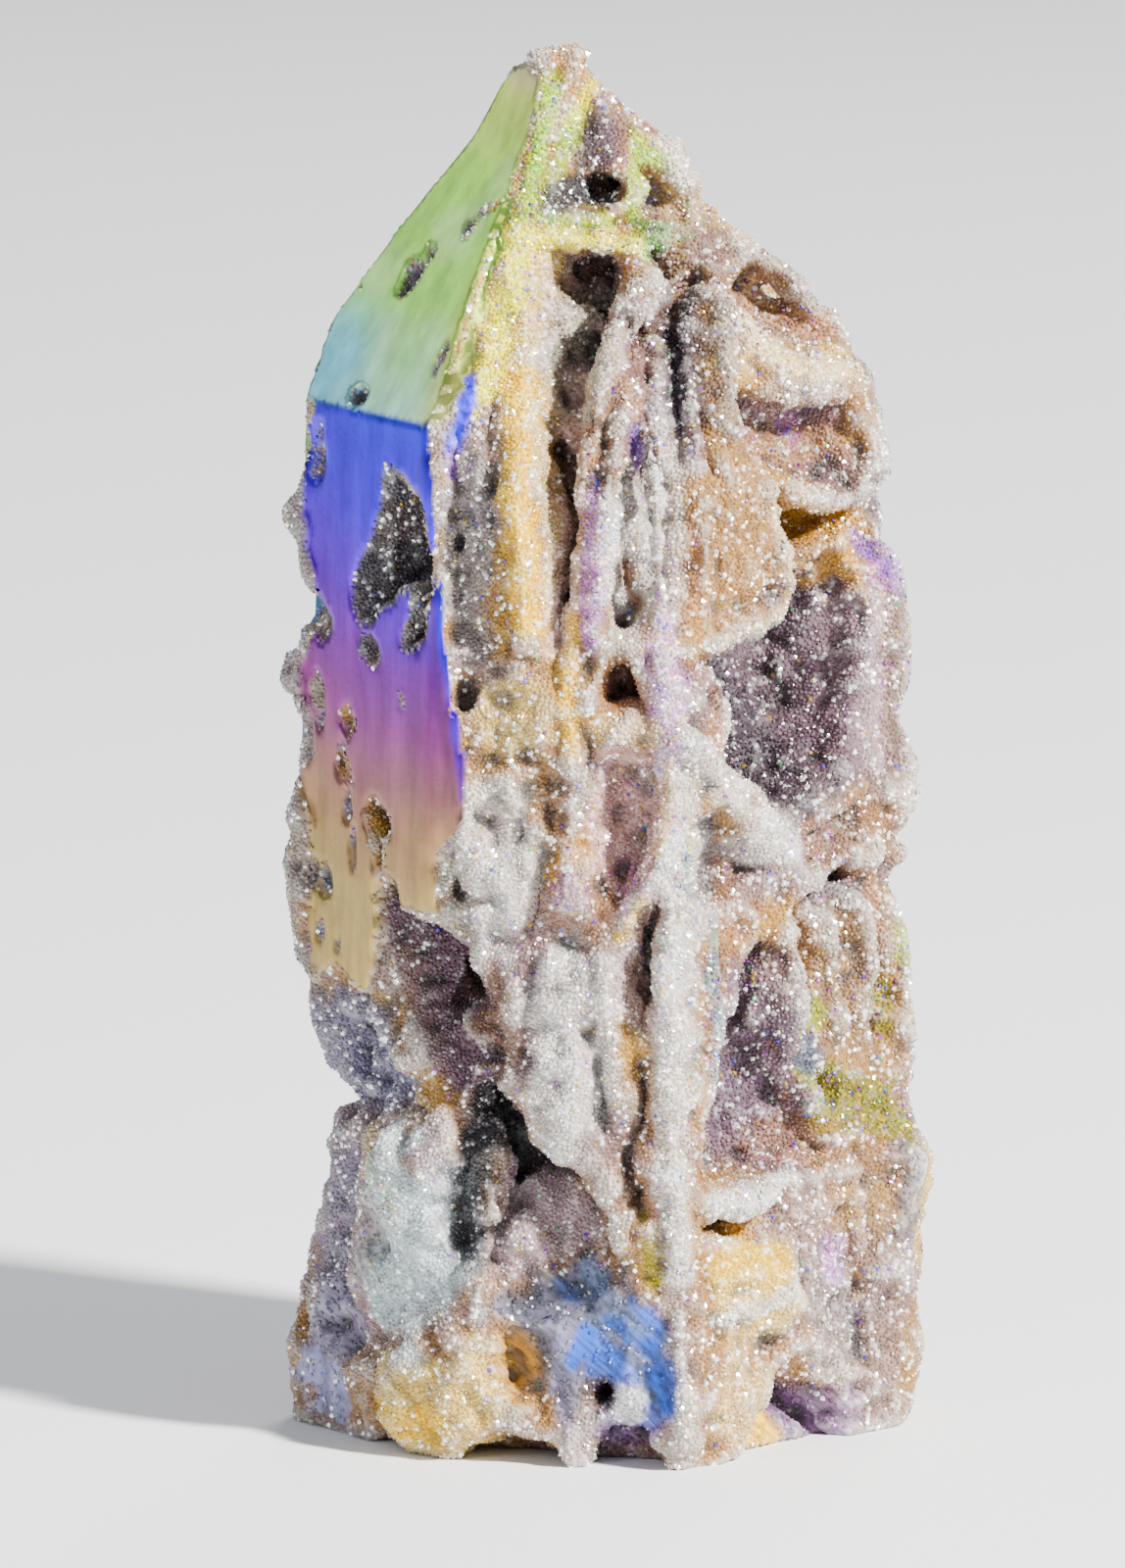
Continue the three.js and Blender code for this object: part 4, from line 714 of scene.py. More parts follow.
# %% Paint the crust
PATCHES = [
    # side, across, height, half width, half height, colour, strength, crust, glitter
    ("middle", -3.5, 92, 3.2, 6.5, "golden white", 0.8, 1, 0.5),
    ("middle", 2.4, 97.2, 5.6, 1.4, "golden white", 0.8, 1, 0.7),
    ("middle", 1.8, 103.8, 2.2, 2.2, "dark mauve", 0.75, 1, 0.2),
    ("middle", 2.2, 100.2, 2.2, 1.4, "brown", 0.8, 1, 0),
    ("middle", 1.4, 93.2, 3.4, 2.6, "pale mauve", 0.6, 0.8, 0.1),
    ("middle", 1.6, 87, 3, 5, "moss", 0.8, 0.8, 0),
    ("middle", 5.4, 88, 2.2, 9, "pink tan", 0.6, 1, 0.3),
    ("middle", -6.2, 72, 2.2, 9, "grey", 0.8, 1, 0.2),
    ("middle", -1.4, 63, 1.6, 3.5, "pink tan", 0.7, 1, 0.2),
    ("middle", 3.4, 74, 1.4, 9, "pink tan", 0.7, 1, 0.4),
    ("middle", 4.1, 71, 1.0, 6, "lilac", 0.8, 1, 0.8),
    ("middle", 6.8, 72, 2.2, 7, "white", 0.55, 1, 0.3),
    ("middle", 9.4, 78, 1.6, 12, "white", 0.5, 1, 0.4),
    ("middle", 9.6, 62, 1.6, 6, "lilac", 0.5, 1, 0.7),
    ("middle", 6.4, 61.8, 2.6, 1.8, "red brown", 0.6, 0.9, 0),
    ("middle", 7, 59, 3.4, 1.3, "cream", 0.7, 1, 0.2),
    ("middle", 6.8, 51.5, 3.4, 6.6, "rose", 0.95, 1, 0.35),
    ("middle", 7.4, 46, 1.4, 3, "magenta", 0.4, 1, 0.7),
    ("middle", -2, 60.5, 3.4, 3.6, "golden white", 0.65, 1, 0.2),
    ("middle", -4.2, 48, 4.4, 8, "white", 0.6, 1, 0.2),
    ("middle", 2.6, 48, 1.9, 3.8, "orange", 0.5, 1, 0.3),
    ("middle", 2.4, 46, 1.6, 2, "purple", 0.4, 1, 0.7),
    ("middle", -4.4, 35, 3, 4.4, "brown", 0.75, 1, 0),
    ("middle", 2.2, 33, 3.6, 9, "white", 0.7, 1, 0.15),
    # painted light: a pale tint offsets the shade in this cleft
    ("middle", 7.8, 41, 1.9, 6.4, "pale mauve", 0.85, 0.6, 0.1),
    ("middle", 6.2, 101, 2.6, 5.5, "cream", 0.6, 1, 0.6),
    ("middle", 10.8, 36, 1.8, 26, "white", 0.55, 1, 0.3),
    ("middle", 9.2, 16.5, 1.4, 2.6, "green glitter", 0.15, 1, 0.8),
    ("middle", 2.6, 11.2, 6.5, 5.2, "slate", 0.85, 0.35, 0.05),
    ("middle", 7.4, 7.6, 4.4, 5, "steel blue", 0.85, 0.12, 0),
    ("middle", 7.2, 5, 1.5, 2, "white", 0.9, 1, 0.2),
    ("middle", 2, 7, 1.2, 5.4, "grey lilac", 0.8, 0.3, 0),
    ("middle", -2.2, 7.6, 2.2, 3.4, "gold brown", 0.9, 0.15, 0),
    ("middle", 4.8, 6.2, 1.6, 1.8, "dark brown", 0.9, 0.7, 0),
    # painted shade: plum where the front corner's foot is undercut
    ("middle", 7, 2.6, 3.6, 1.6, "plum", 0.8, 0.4, 0),
    ("middle", -5.6, 5, 3, 4.6, "golden white", 0.8, 1, 0.15),
    ("left", 6.6, 5, 4.2, 5, "golden white", 0.75, 1, 0.15),
    ("left", -1, 18, 11, 12, "pale mauve", 0.65, 1, 0.1),
    ("left", 3, 17, 6.2, 10, "cool white", 1, 1, 0.1),
    ("left", 1, 21, 4, 5, "green glitter", 0.12, 1, 0.4),
    ("left", -2, 16, 2.4, 4.4, "grey", 0.7, 0.25, 0),
    ("left", -8.4, 17, 4, 8, "grey lilac", 0.7, 1, 0.1),
    ("left", -6.6, 8, 3.6, 3.2, "grey lilac", 0.75, 0.35, 0),
    ("left", -6, 31, 8, 5.4, "grey lilac", 0.85, 1, 0.1),
    ("left", 5, 38, 4, 5, "mauve", 0.6, 1, 0),
    ("left", -11, 60, 3.2, 24, "grey", 0.7, 1, 0.2),
    ("right", 4, 96, 3, 3, "mauve", 0.7, 1, 0.2),
    ("right", -6, 86, 2.4, 6, "mauve", 0.6, 1, 0.2),
    ("right", 2.5, 88.5, 3, 3, "cream", 0.6, 1, 0.3),
    ("right", 9, 86.6, 5, 1.4, "golden white", 0.7, 1, 0.5),
    ("right", 8, 91, 6, 4.4, "pink tan", 0.9, 1, 0.3),
    ("right", 9, 91.4, 5.6, 4.2, "dull tan", 0.8, 1, 0.25),
    ("right", 7, 80, 6, 4, "pink tan", 0.65, 1, 0.35),
    ("right", 9.4, 81, 1.6, 1.6, "magenta", 0.5, 1, 0.8),
    ("right", -0.6, 72, 5.2, 11, "tan", 0.85, 1, 0.1),
    ("right", 5.6, 60, 10, 9.6, "dark mauve", 0.9, 1, 0.15),
    ("right", 14.6, 62, 1.8, 10, "brown", 0.6, 1, 0.3),
    ("right", 14.6, 69.8, 1.8, 2.6, "magenta", 0.75, 1, 0.8),
    ("right", -4, 54.5, 4.6, 2.2, "white", 0.6, 1, 0.2),
    ("right", 1.4, 49.6, 3.6, 2.6, "white", 0.6, 1, 0.2),
    ("right", 8, 47.5, 4.4, 3, "dull brown", 0.6, 1, 0.3),
    ("right", 8.6, 43.6, 3.4, 1.4, "dark mauve", 0.85, 1, 0),
    ("right", -2, 32, 5.2, 9, "mauve", 0.95, 1, 0.2),
    ("right", 9, 37, 4.4, 6.4, "dull tan", 0.7, 1, 0.3),
    ("right", 2.6, 27.6, 4.6, 6, "mauve", 0.9, 1, 0.2),
    ("right", 10.4, 26.6, 5.2, 2.5, "gold glitter", 1, 1, 1),
    ("right", 5.6, 34.6, 1.1, 1.8, "green glitter", 0.5, 1, 0.9),
    ("right", 16, 39.5, 1.6, 2.4, "green glitter", 0.7, 1, 0.9),
    ("right", 5, 24.5, 6, 2, "pink tan", 0.5, 1, 0.3),
    ("right", -4, 20.9, 4.4, 1.2, "white", 0.8, 1, 0.1),
    ("right", -3, 13.6, 5.4, 4.8, "golden white", 0.7, 1, 0.1),
    ("right", -4, 5, 4, 4.6, "cream", 0.7, 1, 0.1),
    ("right", 7.4, 9.6, 3.6, 6, "grey", 0.65, 0.9, 0.1),
    ("right", 8, 14, 1.6, 2.4, "lilac", 0.6, 1, 0.5),
    ("right", 0.8, 2, 2, 2.8, "gold tan", 0.9, 0.1, 0),
    ("right", 6.4, 1.8, 4.4, 2.6, "plum", 0.85, 0.3, 0.2),
    ("right", 15.6, 19, 2.4, 6.4, "slate", 0.6, 0.5, 0),
    ("back_right", -4, 70, 6, 9, "dark mauve", 0.7, 1, 0.15),
    ("back_right", 5, 48, 5, 9, "pink tan", 0.6, 1, 0.4),
    ("back_right", -6, 42, 4, 9, "mauve", 0.7, 1, 0.1),
    ("back_right", 4, 26, 5, 8, "gold tan", 0.6, 1, 0.6),
    ("back_right", -8, 18, 4, 6, "golden white", 0.6, 1, 0.1),
    ("back_right", 0, 95, 5, 7, "cream", 0.5, 1, 0.4),
    ("back", -6, 58, 6, 12, "dark mauve", 0.7, 1, 0.15),
    ("back", 5, 35, 6, 11, "mauve", 0.6, 1, 0.2),
    ("back_left", -5, 38, 5, 10, "red brown", 0.6, 1, 0.1),
    ("back_left", 7, 18, 5, 10, "white", 0.6, 1, 0.1),
]


STROKES = [
    # side, colour, strength, half width, crust, glitter, places (across, height)
    ("middle", "green glitter", 0.95, 0.9, 1, 0.9, [(-2, 108.5), (-2.7, 104), (-3.2, 100), (-3.8, 96)]),
    ("middle", "lemon", 0.95, 1.3, 1, 0.6, [(-3.6, 97), (-4, 93), (-4.4, 90), (-5, 87), (-6, 84.4)]),
    ("middle", "green glitter", 0.8, 0.6, 1, 0.8, [(0.4, 107.6), (-0.6, 104.6), (-1.6, 101), (-1.8, 98.6)]),
    ("middle", "green glitter", 0.8, 0.7, 1, 0.9, [(-2, 98.3), (1, 98), (4.4, 98)]),
    ("middle", "lemon", 0.8, 0.8, 1, 0.6, [(-2.6, 96.9), (1, 96.4), (4, 96.3), (7.6, 96)]),
    ("middle", "green glitter", 0.9, 0.7, 1, 1, [(4.7, 97.6), (4.5, 101), (4.3, 104.6)]),
    ("middle", "green glitter", 0.9, 0.8, 1, 1, [(6.4, 97.4), (6, 101), (5.6, 103.8)]),
    ("middle", "pale green", 1, 1.4, 1, 0.5, [(6.8, 96.2), (6.8, 99), (6.6, 102)]),
    ("middle", "green glitter", 0.9, 0.6, 1, 1, [(8.2, 96.4), (8.1, 99), (7.7, 101.6)]),
    # painted shade: charcoal inside the small window near the tip
    ("middle", "charcoal", 0.95, 1.5, 1, 0.1, [(-0.8, 100), (1, 99.9), (2.8, 99.9)]),
    ("middle", "red brown", 0.85, 0.5, 1, 0.2, [(3.8, 96.8), (3.7, 100), (3.5, 103.6)]),
    ("middle", "dark mauve", 0.8, 1.3, 1, 0.2, [(1.4, 105.4), (1.8, 103)]),
    ("middle", "gold brown", 0.7, 1.6, 1, 0.2, [(-1, 111), (-0.2, 109), (0.2, 107.8)]),
    ("middle", "lemon", 0.7, 0.5, 1, 0.6, [(0.9, 108.6), (0.5, 107), (-0.4, 105.6)]),
    ("middle", "mauve", 0.6, 0.8, 1, 0.3, [(1.6, 107.4), (3, 106), (4.6, 104.8)]),
    ("middle", "ultramarine", 1.0, 0.8, 0.05, 0, [(-6.2, 86), (-6.8, 83.4), (-7.4, 81)]),
    ("middle", "purple", 0.8, 0.5, 0.5, 0.2, [(-7.4, 80.6), (-7.6, 78.6)]),
    # painted shade: dark mauve along the groove near the right edge
    ("middle", "dark mauve", 0.95, 1.1, 1, 0.05, [
        (9.4, 97), (9.1, 95), (9, 93), (9.2, 91), (9.4, 89), (9.6, 87), (9.8, 83)]),
    # moss in the cleft: its own colour, lightened as painted light against the shade
    ("middle", "moss", 0.75, 1.2, 0.7, 0.1, [(1, 90.6), (0.8, 87), (1, 84)]),
    ("middle", "gold tan", 0.95, 1.5, 1, 0.2, [(-2.4, 86), (-2.1, 80), (-1.8, 75), (-1.2, 71), (-1, 67.6)]),
    # painted light: a light tint offsets the shade of this deep groove
    ("middle", "pinkish grey", 0.9, 1.2, 0.8, 0.1, [(1, 86), (1.5, 78), (1.8, 74), (1.5, 70), (1.3, 66)]),
    ("middle", "cream", 0.7, 0.6, 1, 0.2, [(-0.9, 86), (-0.6, 81), (0.2, 77), (0.6, 73.6), (0.4, 70)]),
    ("middle", "lilac", 0.7, 0.6, 1, 0.9, [(4.2, 78), (3.9, 74), (3.7, 70), (3.6, 66)]),
    ("middle", "gold tan", 0.7, 0.6, 1, 0.3, [(2.4, 68), (2.2, 62), (2.4, 57)]),
    ("middle", "brown", 0.85, 0.5, 0.5, 0, [(6, 71.6), (6.2, 70), (7, 68.6)]),
    ("middle", "purple", 0.7, 0.5, 0.9, 0.5, [(6.8, 82.6), (7.2, 79.6)]),
    ("middle", "magenta", 0.6, 0.6, 1, 0.8, [(10.6, 60.4), (10.5, 57.6)]),
    ("middle", "orange", 0.7, 0.5, 1, 0.4, [(10.2, 57), (10, 52), (9.2, 49.6)]),
    ("middle", "gold tan", 0.55, 0.6, 1, 0.5, [(8.4, 46), (7.2, 44), (6.2, 42.4)]),
    # painted light: a light tint offsets the shade of this cleft
    ("middle", "pinkish grey", 0.9, 1.1, 0.9, 0.12, [(9.2, 45.4), (8.2, 42), (7.4, 39.4), (8.2, 36)]),
    ("middle", "dark brown", 0.85, 0.5, 0.6, 0, [(8.2, 31), (7.8, 27.4), (7, 25), (7.2, 23), (8, 21.4)]),
    ("middle", "blue grey", 0.7, 1.2, 0.3, 0, [(3, 15.4), (5.4, 13.4), (8, 11.4)]),
    ("middle", "steel blue", 0.95, 0.8, 0.05, 0, [(2.6, 8.4), (4, 11), (6.4, 11.6)]),
    ("middle", "steel blue", 0.95, 0.8, 0.05, 0, [(8.6, 10), (9.4, 7.6), (10.4, 5)]),
    ("middle", "steel blue", 0.6, 0.5, 0.3, 0, [(1, 14.4), (2.4, 13.2)]),
    ("middle", "steel blue", 0.7, 0.5, 0.2, 0, [(7.4, 13.6), (9.6, 11.6)]),
    ("middle", "grey", 0.7, 0.5, 0.6, 0, [(3.6, 12.4), (6, 10.4), (8.6, 8.6)]),
    ("middle", "lemon", 0.2, 0.7, 1, 0.9, [(8.4, 20), (8.8, 17), (9.6, 15)]),
    # painted shade: a broad dark valley along the groove beside the front edge
    ("right", "deep mauve", 0.7, 2.0, 1, 0.12, [(0.4, 96.6), (-1.6, 92.4), (-3.2, 88), (-4, 83.6)]),
    ("right", "dull tan", 0.8, 1.2, 1, 0.2, [
        (2.4, 97), (1.6, 94), (1.2, 91), (-0.6, 88), (-1.8, 85), (-2.2, 82)]),
    ("right", "cream", 0.85, 0.9, 1, 0.4, [(1, 90.4), (2, 88.2), (4, 86.8), (8, 86), (15, 85.4)]),
    ("right", "red brown", 0.55, 1.4, 1, 0.3, [(3.6, 92), (8, 90), (12, 88.4)]),
    ("right", "mauve", 0.55, 1.4, 1, 0.2, [(1, 83.4), (5, 82.4), (10, 82), (12, 81.8)]),
    ("right", "brown", 0.9, 0.5, 0.6, 0, [(-4.4, 82), (-4.3, 79)]),
    ("right", "gold brown", 0.8, 2.0, 0.8, 0.1, [(4, 75.2), (6.4, 73.8), (10, 72.8), (13, 72.4)]),
    ("right", "cream", 0.8, 0.6, 1, 0.2, [
        (1.4, 76.6), (2.8, 73.6), (3.4, 70), (2.8, 67.6), (-1, 66.4), (-5, 65.4)]),
    # the upper left of the pocket: partly its own dark crust, partly painted shade under the plate above
    ("right", "deep mauve", 0.9, 4.4, 1, 0.1, [(-0.6, 62.4), (2.4, 60), (4.6, 54)]),
    # painted light: a paler tint offsets the shade in this recess, where the crust is also greyer
    ("right", "pale mauve", 0.7, 2.6, 1, 0.15, [(13, 66.5), (13.4, 62), (13, 55)]),
    ("right", "mauve", 0.6, 1.2, 1, 0.15, [(11.2, 67), (11.2, 60), (10.6, 54)]),
    # painted light: a lighter gold offsets the ledge's shadow over this golden recess
    ("right", "gold brown", 0.95, 1.5, 0.9, 0.1, [(9, 73.4), (12.2, 73.2), (11.4, 71), (10.9, 69.4)]),
    ("right", "dull brown", 0.9, 1.3, 1, 0.3, [(15.4, 67), (15.4, 62), (15.4, 55)]),
    ("right", "dark mauve", 0.65, 2.8, 1, 0.2, [(1.4, 38), (0.6, 33), (0, 27)]),
    ("right", "purple", 0.7, 0.9, 1, 0.7, [(13, 72), (15, 70), (15.4, 68)]),
    ("right", "teal", 0.5, 0.7, 1, 0.6, [(-6.6, 49), (-6.4, 40), (-6.6, 28)]),
    ("right", "gold glitter", 1, 1.7, 1, 1, [(6, 29.8), (9, 28), (12, 25.8), (15, 24.6)]),
    ("right", "gold glitter", 0.7, 0.7, 1, 1, [(14, 36), (13.8, 32)]),
    ("right", "green glitter", 0.8, 0.7, 1, 0.9, [(15.4, 43), (16.4, 40), (17, 37)]),
    ("right", "white", 0.9, 0.7, 1, 0.1, [(-8, 21.4), (-5, 21.1), (-2, 21.5), (1, 22)]),
    ("right", "gold tan", 0.6, 1.8, 1, 0.1, [(-6.6, 15.6), (-3.4, 15.8), (-0.6, 15)]),
    ("right", "white", 0.7, 0.9, 1, 0.3, [(-6.6, 11.6), (-3, 12), (0.6, 13), (3, 14.4)]),
    ("right", "slate", 0.85, 1.5, 1, 0.2, [(4.8, 32), (5.4, 30.4)]),
    ("right", "gold brown", 0.8, 0.7, 0.8, 0, [(-7.4, 19), (-4, 18.6), (-1.4, 19.4)]),
    ("right", "gold tan", 0.9, 0.9, 0.1, 0, [(-1.4, 0.8), (0.6, 3), (1, 5)]),
    ("left", "graphite", 0.95, 2.4, 1, 0.12, [(2, 78), (2.6, 73), (1.6, 69), (-0.4, 66.4)]),
    ("left", "graphite", 0.9, 2.0, 1, 0.12, [(0.6, 78.6), (-0.2, 75), (-1.2, 72.6), (-2.4, 70.5)]),
    ("left", "graphite", 0.95, 3.6, 1, 0.12, [(-3, 70), (-3.6, 67), (-2.4, 65)]),
    ("left", "graphite", 0.95, 1.2, 1, 0.12, [(4.4, 75), (5, 71), (4.6, 66), (4.4, 63.6)]),
    ("left", "mauve", 0.85, 2.0, 1, 0.1, [(1.2, 43), (3.2, 39.6), (5.4, 36.6), (6.8, 33.6), (7.4, 30.8)]),
    # painted shade: charcoal at the lower end of the cave
    ("middle", "charcoal", 0.9, 2.2, 1, 0.05, [(-4.4, 28.6), (-5.4, 25), (-6.6, 20.5), (-6.3, 17.2)]),
    # painted light: the deep wall and floor of the cave are tinted pale, as if lit
    ("middle", "pale mauve", 0.95, 1.5, 1, 0.15, [(-2.4, 22.4), (0, 21.6), (1.4, 20.4), (-1.4, 19.8)]),
    ("middle", "pale mauve", 0.8, 1.7, 1, 0.2, [(-3, 16.6), (0.6, 17.6), (3, 18.6)]),
    ("middle", "slate", 0.8, 0.35, 0.2, 0, [(0.6, 15), (4, 12.4), (7.4, 9), (9.4, 5)]),
    ("middle", "charcoal", 0.5, 0.25, 0.1, 0, [(3, 14.6), (6.4, 11.8), (9, 8.8), (10.6, 6)]),
    ("middle", "charcoal", 0.5, 0.25, 0.1, 0, [(5.6, 10.6), (8, 8), (10, 4)]),
    ("middle", "charcoal", 0.4, 0.25, 0.2, 0, [(-1.6, 15.8), (2, 13.4), (4.6, 11.4)]),
    ("left", "lemon", 0.15, 1.2, 1, 0.6, [(-4.4, 25.4), (-3, 23), (-2.6, 20.6)]),
    ("left", "gold tan", 0.7, 1.6, 1, 0.1, [(3, 3), (6, 2.4), (9, 3)]),
]
VIVIDNESS = 1.3
NEAR_STEPS, FAR_STEPS = 4, 40
PATCH_SEED, STROKE_SEED = 100, 300
LUMINANCE = np.array([0.2126, 0.7152, 0.0722])
NARROW = 1.2
NARROW_REACH = (6, 9)
SIDE_MARGIN = 1.5
POINT_HEIGHTS = (92, 104)


def within_reach(places, side, half_width):
    """1 on the half of the stone that a side is on; narrow paint doesn't reach far into the hollows."""
    nearness = SIDE_MARGIN * (1 - smooth_step(places[:, 2], *POINT_HEIGHTS))
    from_axis = places @ side_axes(side)[1]
    on_this_side = smooth_step(from_axis - nearness, 0, SIDE_MARGIN + nearness)
    if half_width >= NARROW:
        return on_this_side
    least_depth = np.minimum(depth_under(places, side), depth_under(places, side + "_top"))
    return on_this_side * (1 - smooth_step(least_depth, *NARROW_REACH))


def stroke_share(places, side, half_width, line, seed):
    """How much of a stroke each place gets, from 0 to 1, on the side that the stroke is on."""
    distance = distance_to_line(on_side(places, side), line) / half_width
    distance += 0.35 * soft_noise(places, 1.3, seed)
    return (1 - smooth_step(distance, 0.55, 1.15)) * within_reach(places, side, half_width)


def patch_share(places, side, across, height, half_width, half_height, seed):
    """How much of a patch each place gets, from 0 to 1, on the side that the patch is on."""
    from_middle = (places @ side_axes(side)[0] - across) / half_width
    from_height = (places[:, 2] - height) / half_height
    ragged = 0.3 * soft_noise(places, 2.2, seed) + 0.14 * soft_noise(places, 0.9, seed)
    distance = np.sqrt(from_middle**2 + from_height**2) + ragged
    return (1 - smooth_step(distance, 0.72, 1.12)) * within_reach(places, side, half_width)


def mix(first, second, share):
    """The first value where share is 0, the second where it is 1."""
    share = np.asarray(share)
    if first.ndim == 2 and share.ndim == 1:
        share = share[:, None]
    return first * (1 - share) + second * share


def bulge_over(steps):
    """How far each point stands out from its surroundings, in mm; more steps look further around."""
    smoothed = points
    for _ in range(steps):
        smoothed = neighbour_mean(smoothed, pairs, count)
    return ((points - smoothed) * normals).sum(axis=1)


normals = read_normals(stone.data)
bulge = bulge_over(NEAR_STEPS)
wide_bulge = bulge_over(FAR_STEPS)

outer = 1 - smooth_step(depth, 1.5, 4)
tint = np.tile(palette["tan"], (len(points), 1))
stains_and_painted_shade = [
    # colour, strength, what it follows, where it begins, where it is full
    ("pink tan", 1, soft_noise(points, 9, 21), -0.1, 0.5),
    ("gold tan", 0.15, soft_noise(points, 6, 22), 0.1, 0.6),
    ("grey lilac", 0.4, soft_noise(points, 7, 23), 0.0, 0.5),
    # deeper in the hollows the crust turns mauve, then red brown: partly its own colour, partly painted shade
    ("mauve", 0.6, depth, 1.6, 4.5),
    ("red brown", 0.35, depth, 4, 9),
    # painted shade: dark mauve in broad hollows and along the grooves of the folds
    ("dark mauve", 0.75, -wide_bulge, 0.35, 1.6),
    ("dark mauve", 0.8, -rise, 0.5, 2),
]
for colour, strength, follows, begins, full in stains_and_painted_shade:
    tint = mix(tint, palette[colour], strength * smooth_step(follows, begins, full))
# painted highlight: whitish on the broad ridges near the surface
tint = mix(tint, palette["white"], 0.45 * smooth_step(wide_bulge, 0.25, 1.2) * outer)
crust = np.ones(len(points))
glitter = 0.12 + 0.25 * smooth_step(soft_noise(points, 8, 24), 0.2, 0.6)
for number, patch in enumerate(PATCHES):
    side, across, height, half_width, half_height, colour, strength, thickness, shine = patch
    share = patch_share(points, side, across, height, half_width, half_height, PATCH_SEED + number)
    tint = mix(tint, palette[colour], strength * share)
    crust = mix(crust, thickness, share)
    glitter = mix(glitter, shine, share)
# painted shade: brown in broad hollows; painted highlight: white on broad ridges
tint = mix(tint, palette["brown"], 0.3 * smooth_step(-wide_bulge, 0.5, 2.2))
tint = mix(tint, palette["white"], 0.15 * smooth_step(wide_bulge, 0.4, 1.4) * outer)
tint = mix(tint, palette["grey lilac"], 0.85 * pitted)
# painted shade: the tint is darkened and greyed in small creases
grey_part = np.repeat((tint @ LUMINANCE)[:, None], 3, axis=1)
tint = mix(tint, 0.45 * mix(tint, grey_part, 0.45), smooth_step(-bulge, 0.05, 0.34))
for number, (side, colour, strength, half_width, thickness, shine, line) in enumerate(STROKES):
    share = stroke_share(points, side, half_width, line, STROKE_SEED + number)
    tint = mix(tint, palette[colour], strength * share)
    crust = mix(crust, thickness, share)
    glitter = mix(glitter, shine, share)
# painted highlight: white on small bumps
tint = mix(tint, palette["white"], 0.25 * smooth_step(bulge, 0.08, 0.4))
grey_part = np.repeat((tint @ LUMINANCE)[:, None], 3, axis=1)
tint = np.clip(mix(grey_part, tint, VIVIDNESS), 0, 1)
print(len(PATCHES), "patches and", len(STROKES), "strokes painted")

# %% [markdown]
# ## Colours of the polished bands
# Polishing cut through the layers of the stone, and the coating turned each layer its own colour: ochre at
# the bottom, then rose, violet and a strong blue, and pale green on the sloping facets. The colour depends
# mostly on the height, so a list of heights with a colour each is enough, read like a ruler. A noise bends
# the bands a little, as the layers in the stone are never quite level.

# %% Paint the polished bands
BANDS = {
    # facet: heights in mm with the colour there
    "left": [
        (4, "8c9cd0"), (12, "8c9cd0"), (36, "a88e50"), (44, "ac9458"), (49, "a07a56"), (53, "946068"),
        (58, "8c4084"), (63, "7826a0"), (68, "6000d4"), (74, "4400f0"), (80, "3404f2"), (83, "303cf6"),
    ],
    "left_edge": [(53, "6a10a0"), (58, "5400d0"), (66, "3000ec"), (76, "2c20f2"), (82, "5058d8")],
    "left_top": [
        (82, "80dce0"), (86, "9cec98"), (91, "a8ee66"), (100, "aef058"), (106, "d4e468"), (109, "e4cca0"),
    ],
    "back_left": [
        (4, "8d7cae"), (16, "b09070"), (28, "c08a5c"), (38, "a85f80"), (48, "6a38c0"), (58, "2f2ce0"),
        (68, "2f7ad0"), (76, "4fae9a"), (84, "9cc070"),
    ],
    "back_left_top": [(84, "98c070"), (92, "c8c658"), (100, "d0a850"), (108, "b86a80")],
    "back": [
        (4, "a08860"), (18, "c4a258"), (30, "b8bc64"), (42, "70b08c"), (52, "3f80c8"), (62, "3a38dc"),
        (72, "7a3cc0"), (82, "b05a90"),
    ],
    "back_top": [(83, "b86488"), (90, "c89a58"), (98, "c4c460"), (107, "98c084")],
}
GREEN_FACET = {"yellow": "e8e050", "clouds": "d4ecb4", "teal": "7cd4ec"}


def colour_at(heights, bands):
    """The colour of a list of bands at each height."""
    stops = [height for height, _ in bands]
    colours = np.array([linear(code) for _, code in bands])
    return np.stack([np.interp(heights, stops, colours[:, channel]) for channel in range(3)], axis=1)


polished_tint = np.zeros((len(points), 3))
facet_of = depths[:, [names.index(name) for name in POLISHED]].argmin(axis=1)
for number, name in enumerate(POLISHED):
    here = facet_of == number
    across = points[here] @ side_axes(name)[0]
    bent = points[here, 2] + 1.6 * soft_noise(points[here], 7, 31) + 0.7 * soft_noise(points[here], 2.4, 32)
    if name.startswith("back"):
        bent += 6 * soft_noise(points[here], 16, 34) + 0.25 * across
    else:
        bent -= 0.45 * np.maximum(0, -across - 3)
    polished_tint[here] = colour_at(bent, BANDS[name])
    if name == "left_top":
        yellow = smooth_step(across, 1.5, 7) * 0.75
        polished_tint[here] = mix(polished_tint[here], linear(GREEN_FACET["yellow"]), yellow)
        clouds = smooth_step(soft_noise(points[here], 4.5, 33), -0.1, 0.6) * 0.35
        polished_tint[here] = mix(polished_tint[here], linear(GREEN_FACET["clouds"]), clouds)
        teal = smooth_step(-across, 2, 10) * (1 - smooth_step(points[here, 2], 86, 92)) * 0.8
        polished_tint[here] = mix(polished_tint[here], linear(GREEN_FACET["teal"]), teal)
from_line = distance_to_line(left_places, BLUE_LINE)
on_bevel = facet_of == POLISHED.index("left_edge")
bevel_heights = points[on_bevel, 2] + 1.6 * soft_noise(points[on_bevel], 7, 31)
beside_line = smooth_step(from_line[on_bevel], 0.3, 0.8)
polished_tint[on_bevel] = mix(polished_tint[on_bevel], colour_at(bevel_heights, BANDS["left"]), beside_line)
dark_line = 0.5 * np.exp(-(((from_line - 1.1) / 0.3) ** 2)) * (facet_of <= POLISHED.index("left_edge"))
polished_tint = mix(polished_tint, palette["dark mauve"], dark_line)
tint = mix(tint, polished_tint, polish)
crust = mix(crust, 0.0, polish)
glitter = mix(glitter, 0.5, polish)
print("bands painted on", len(BANDS), "facets")

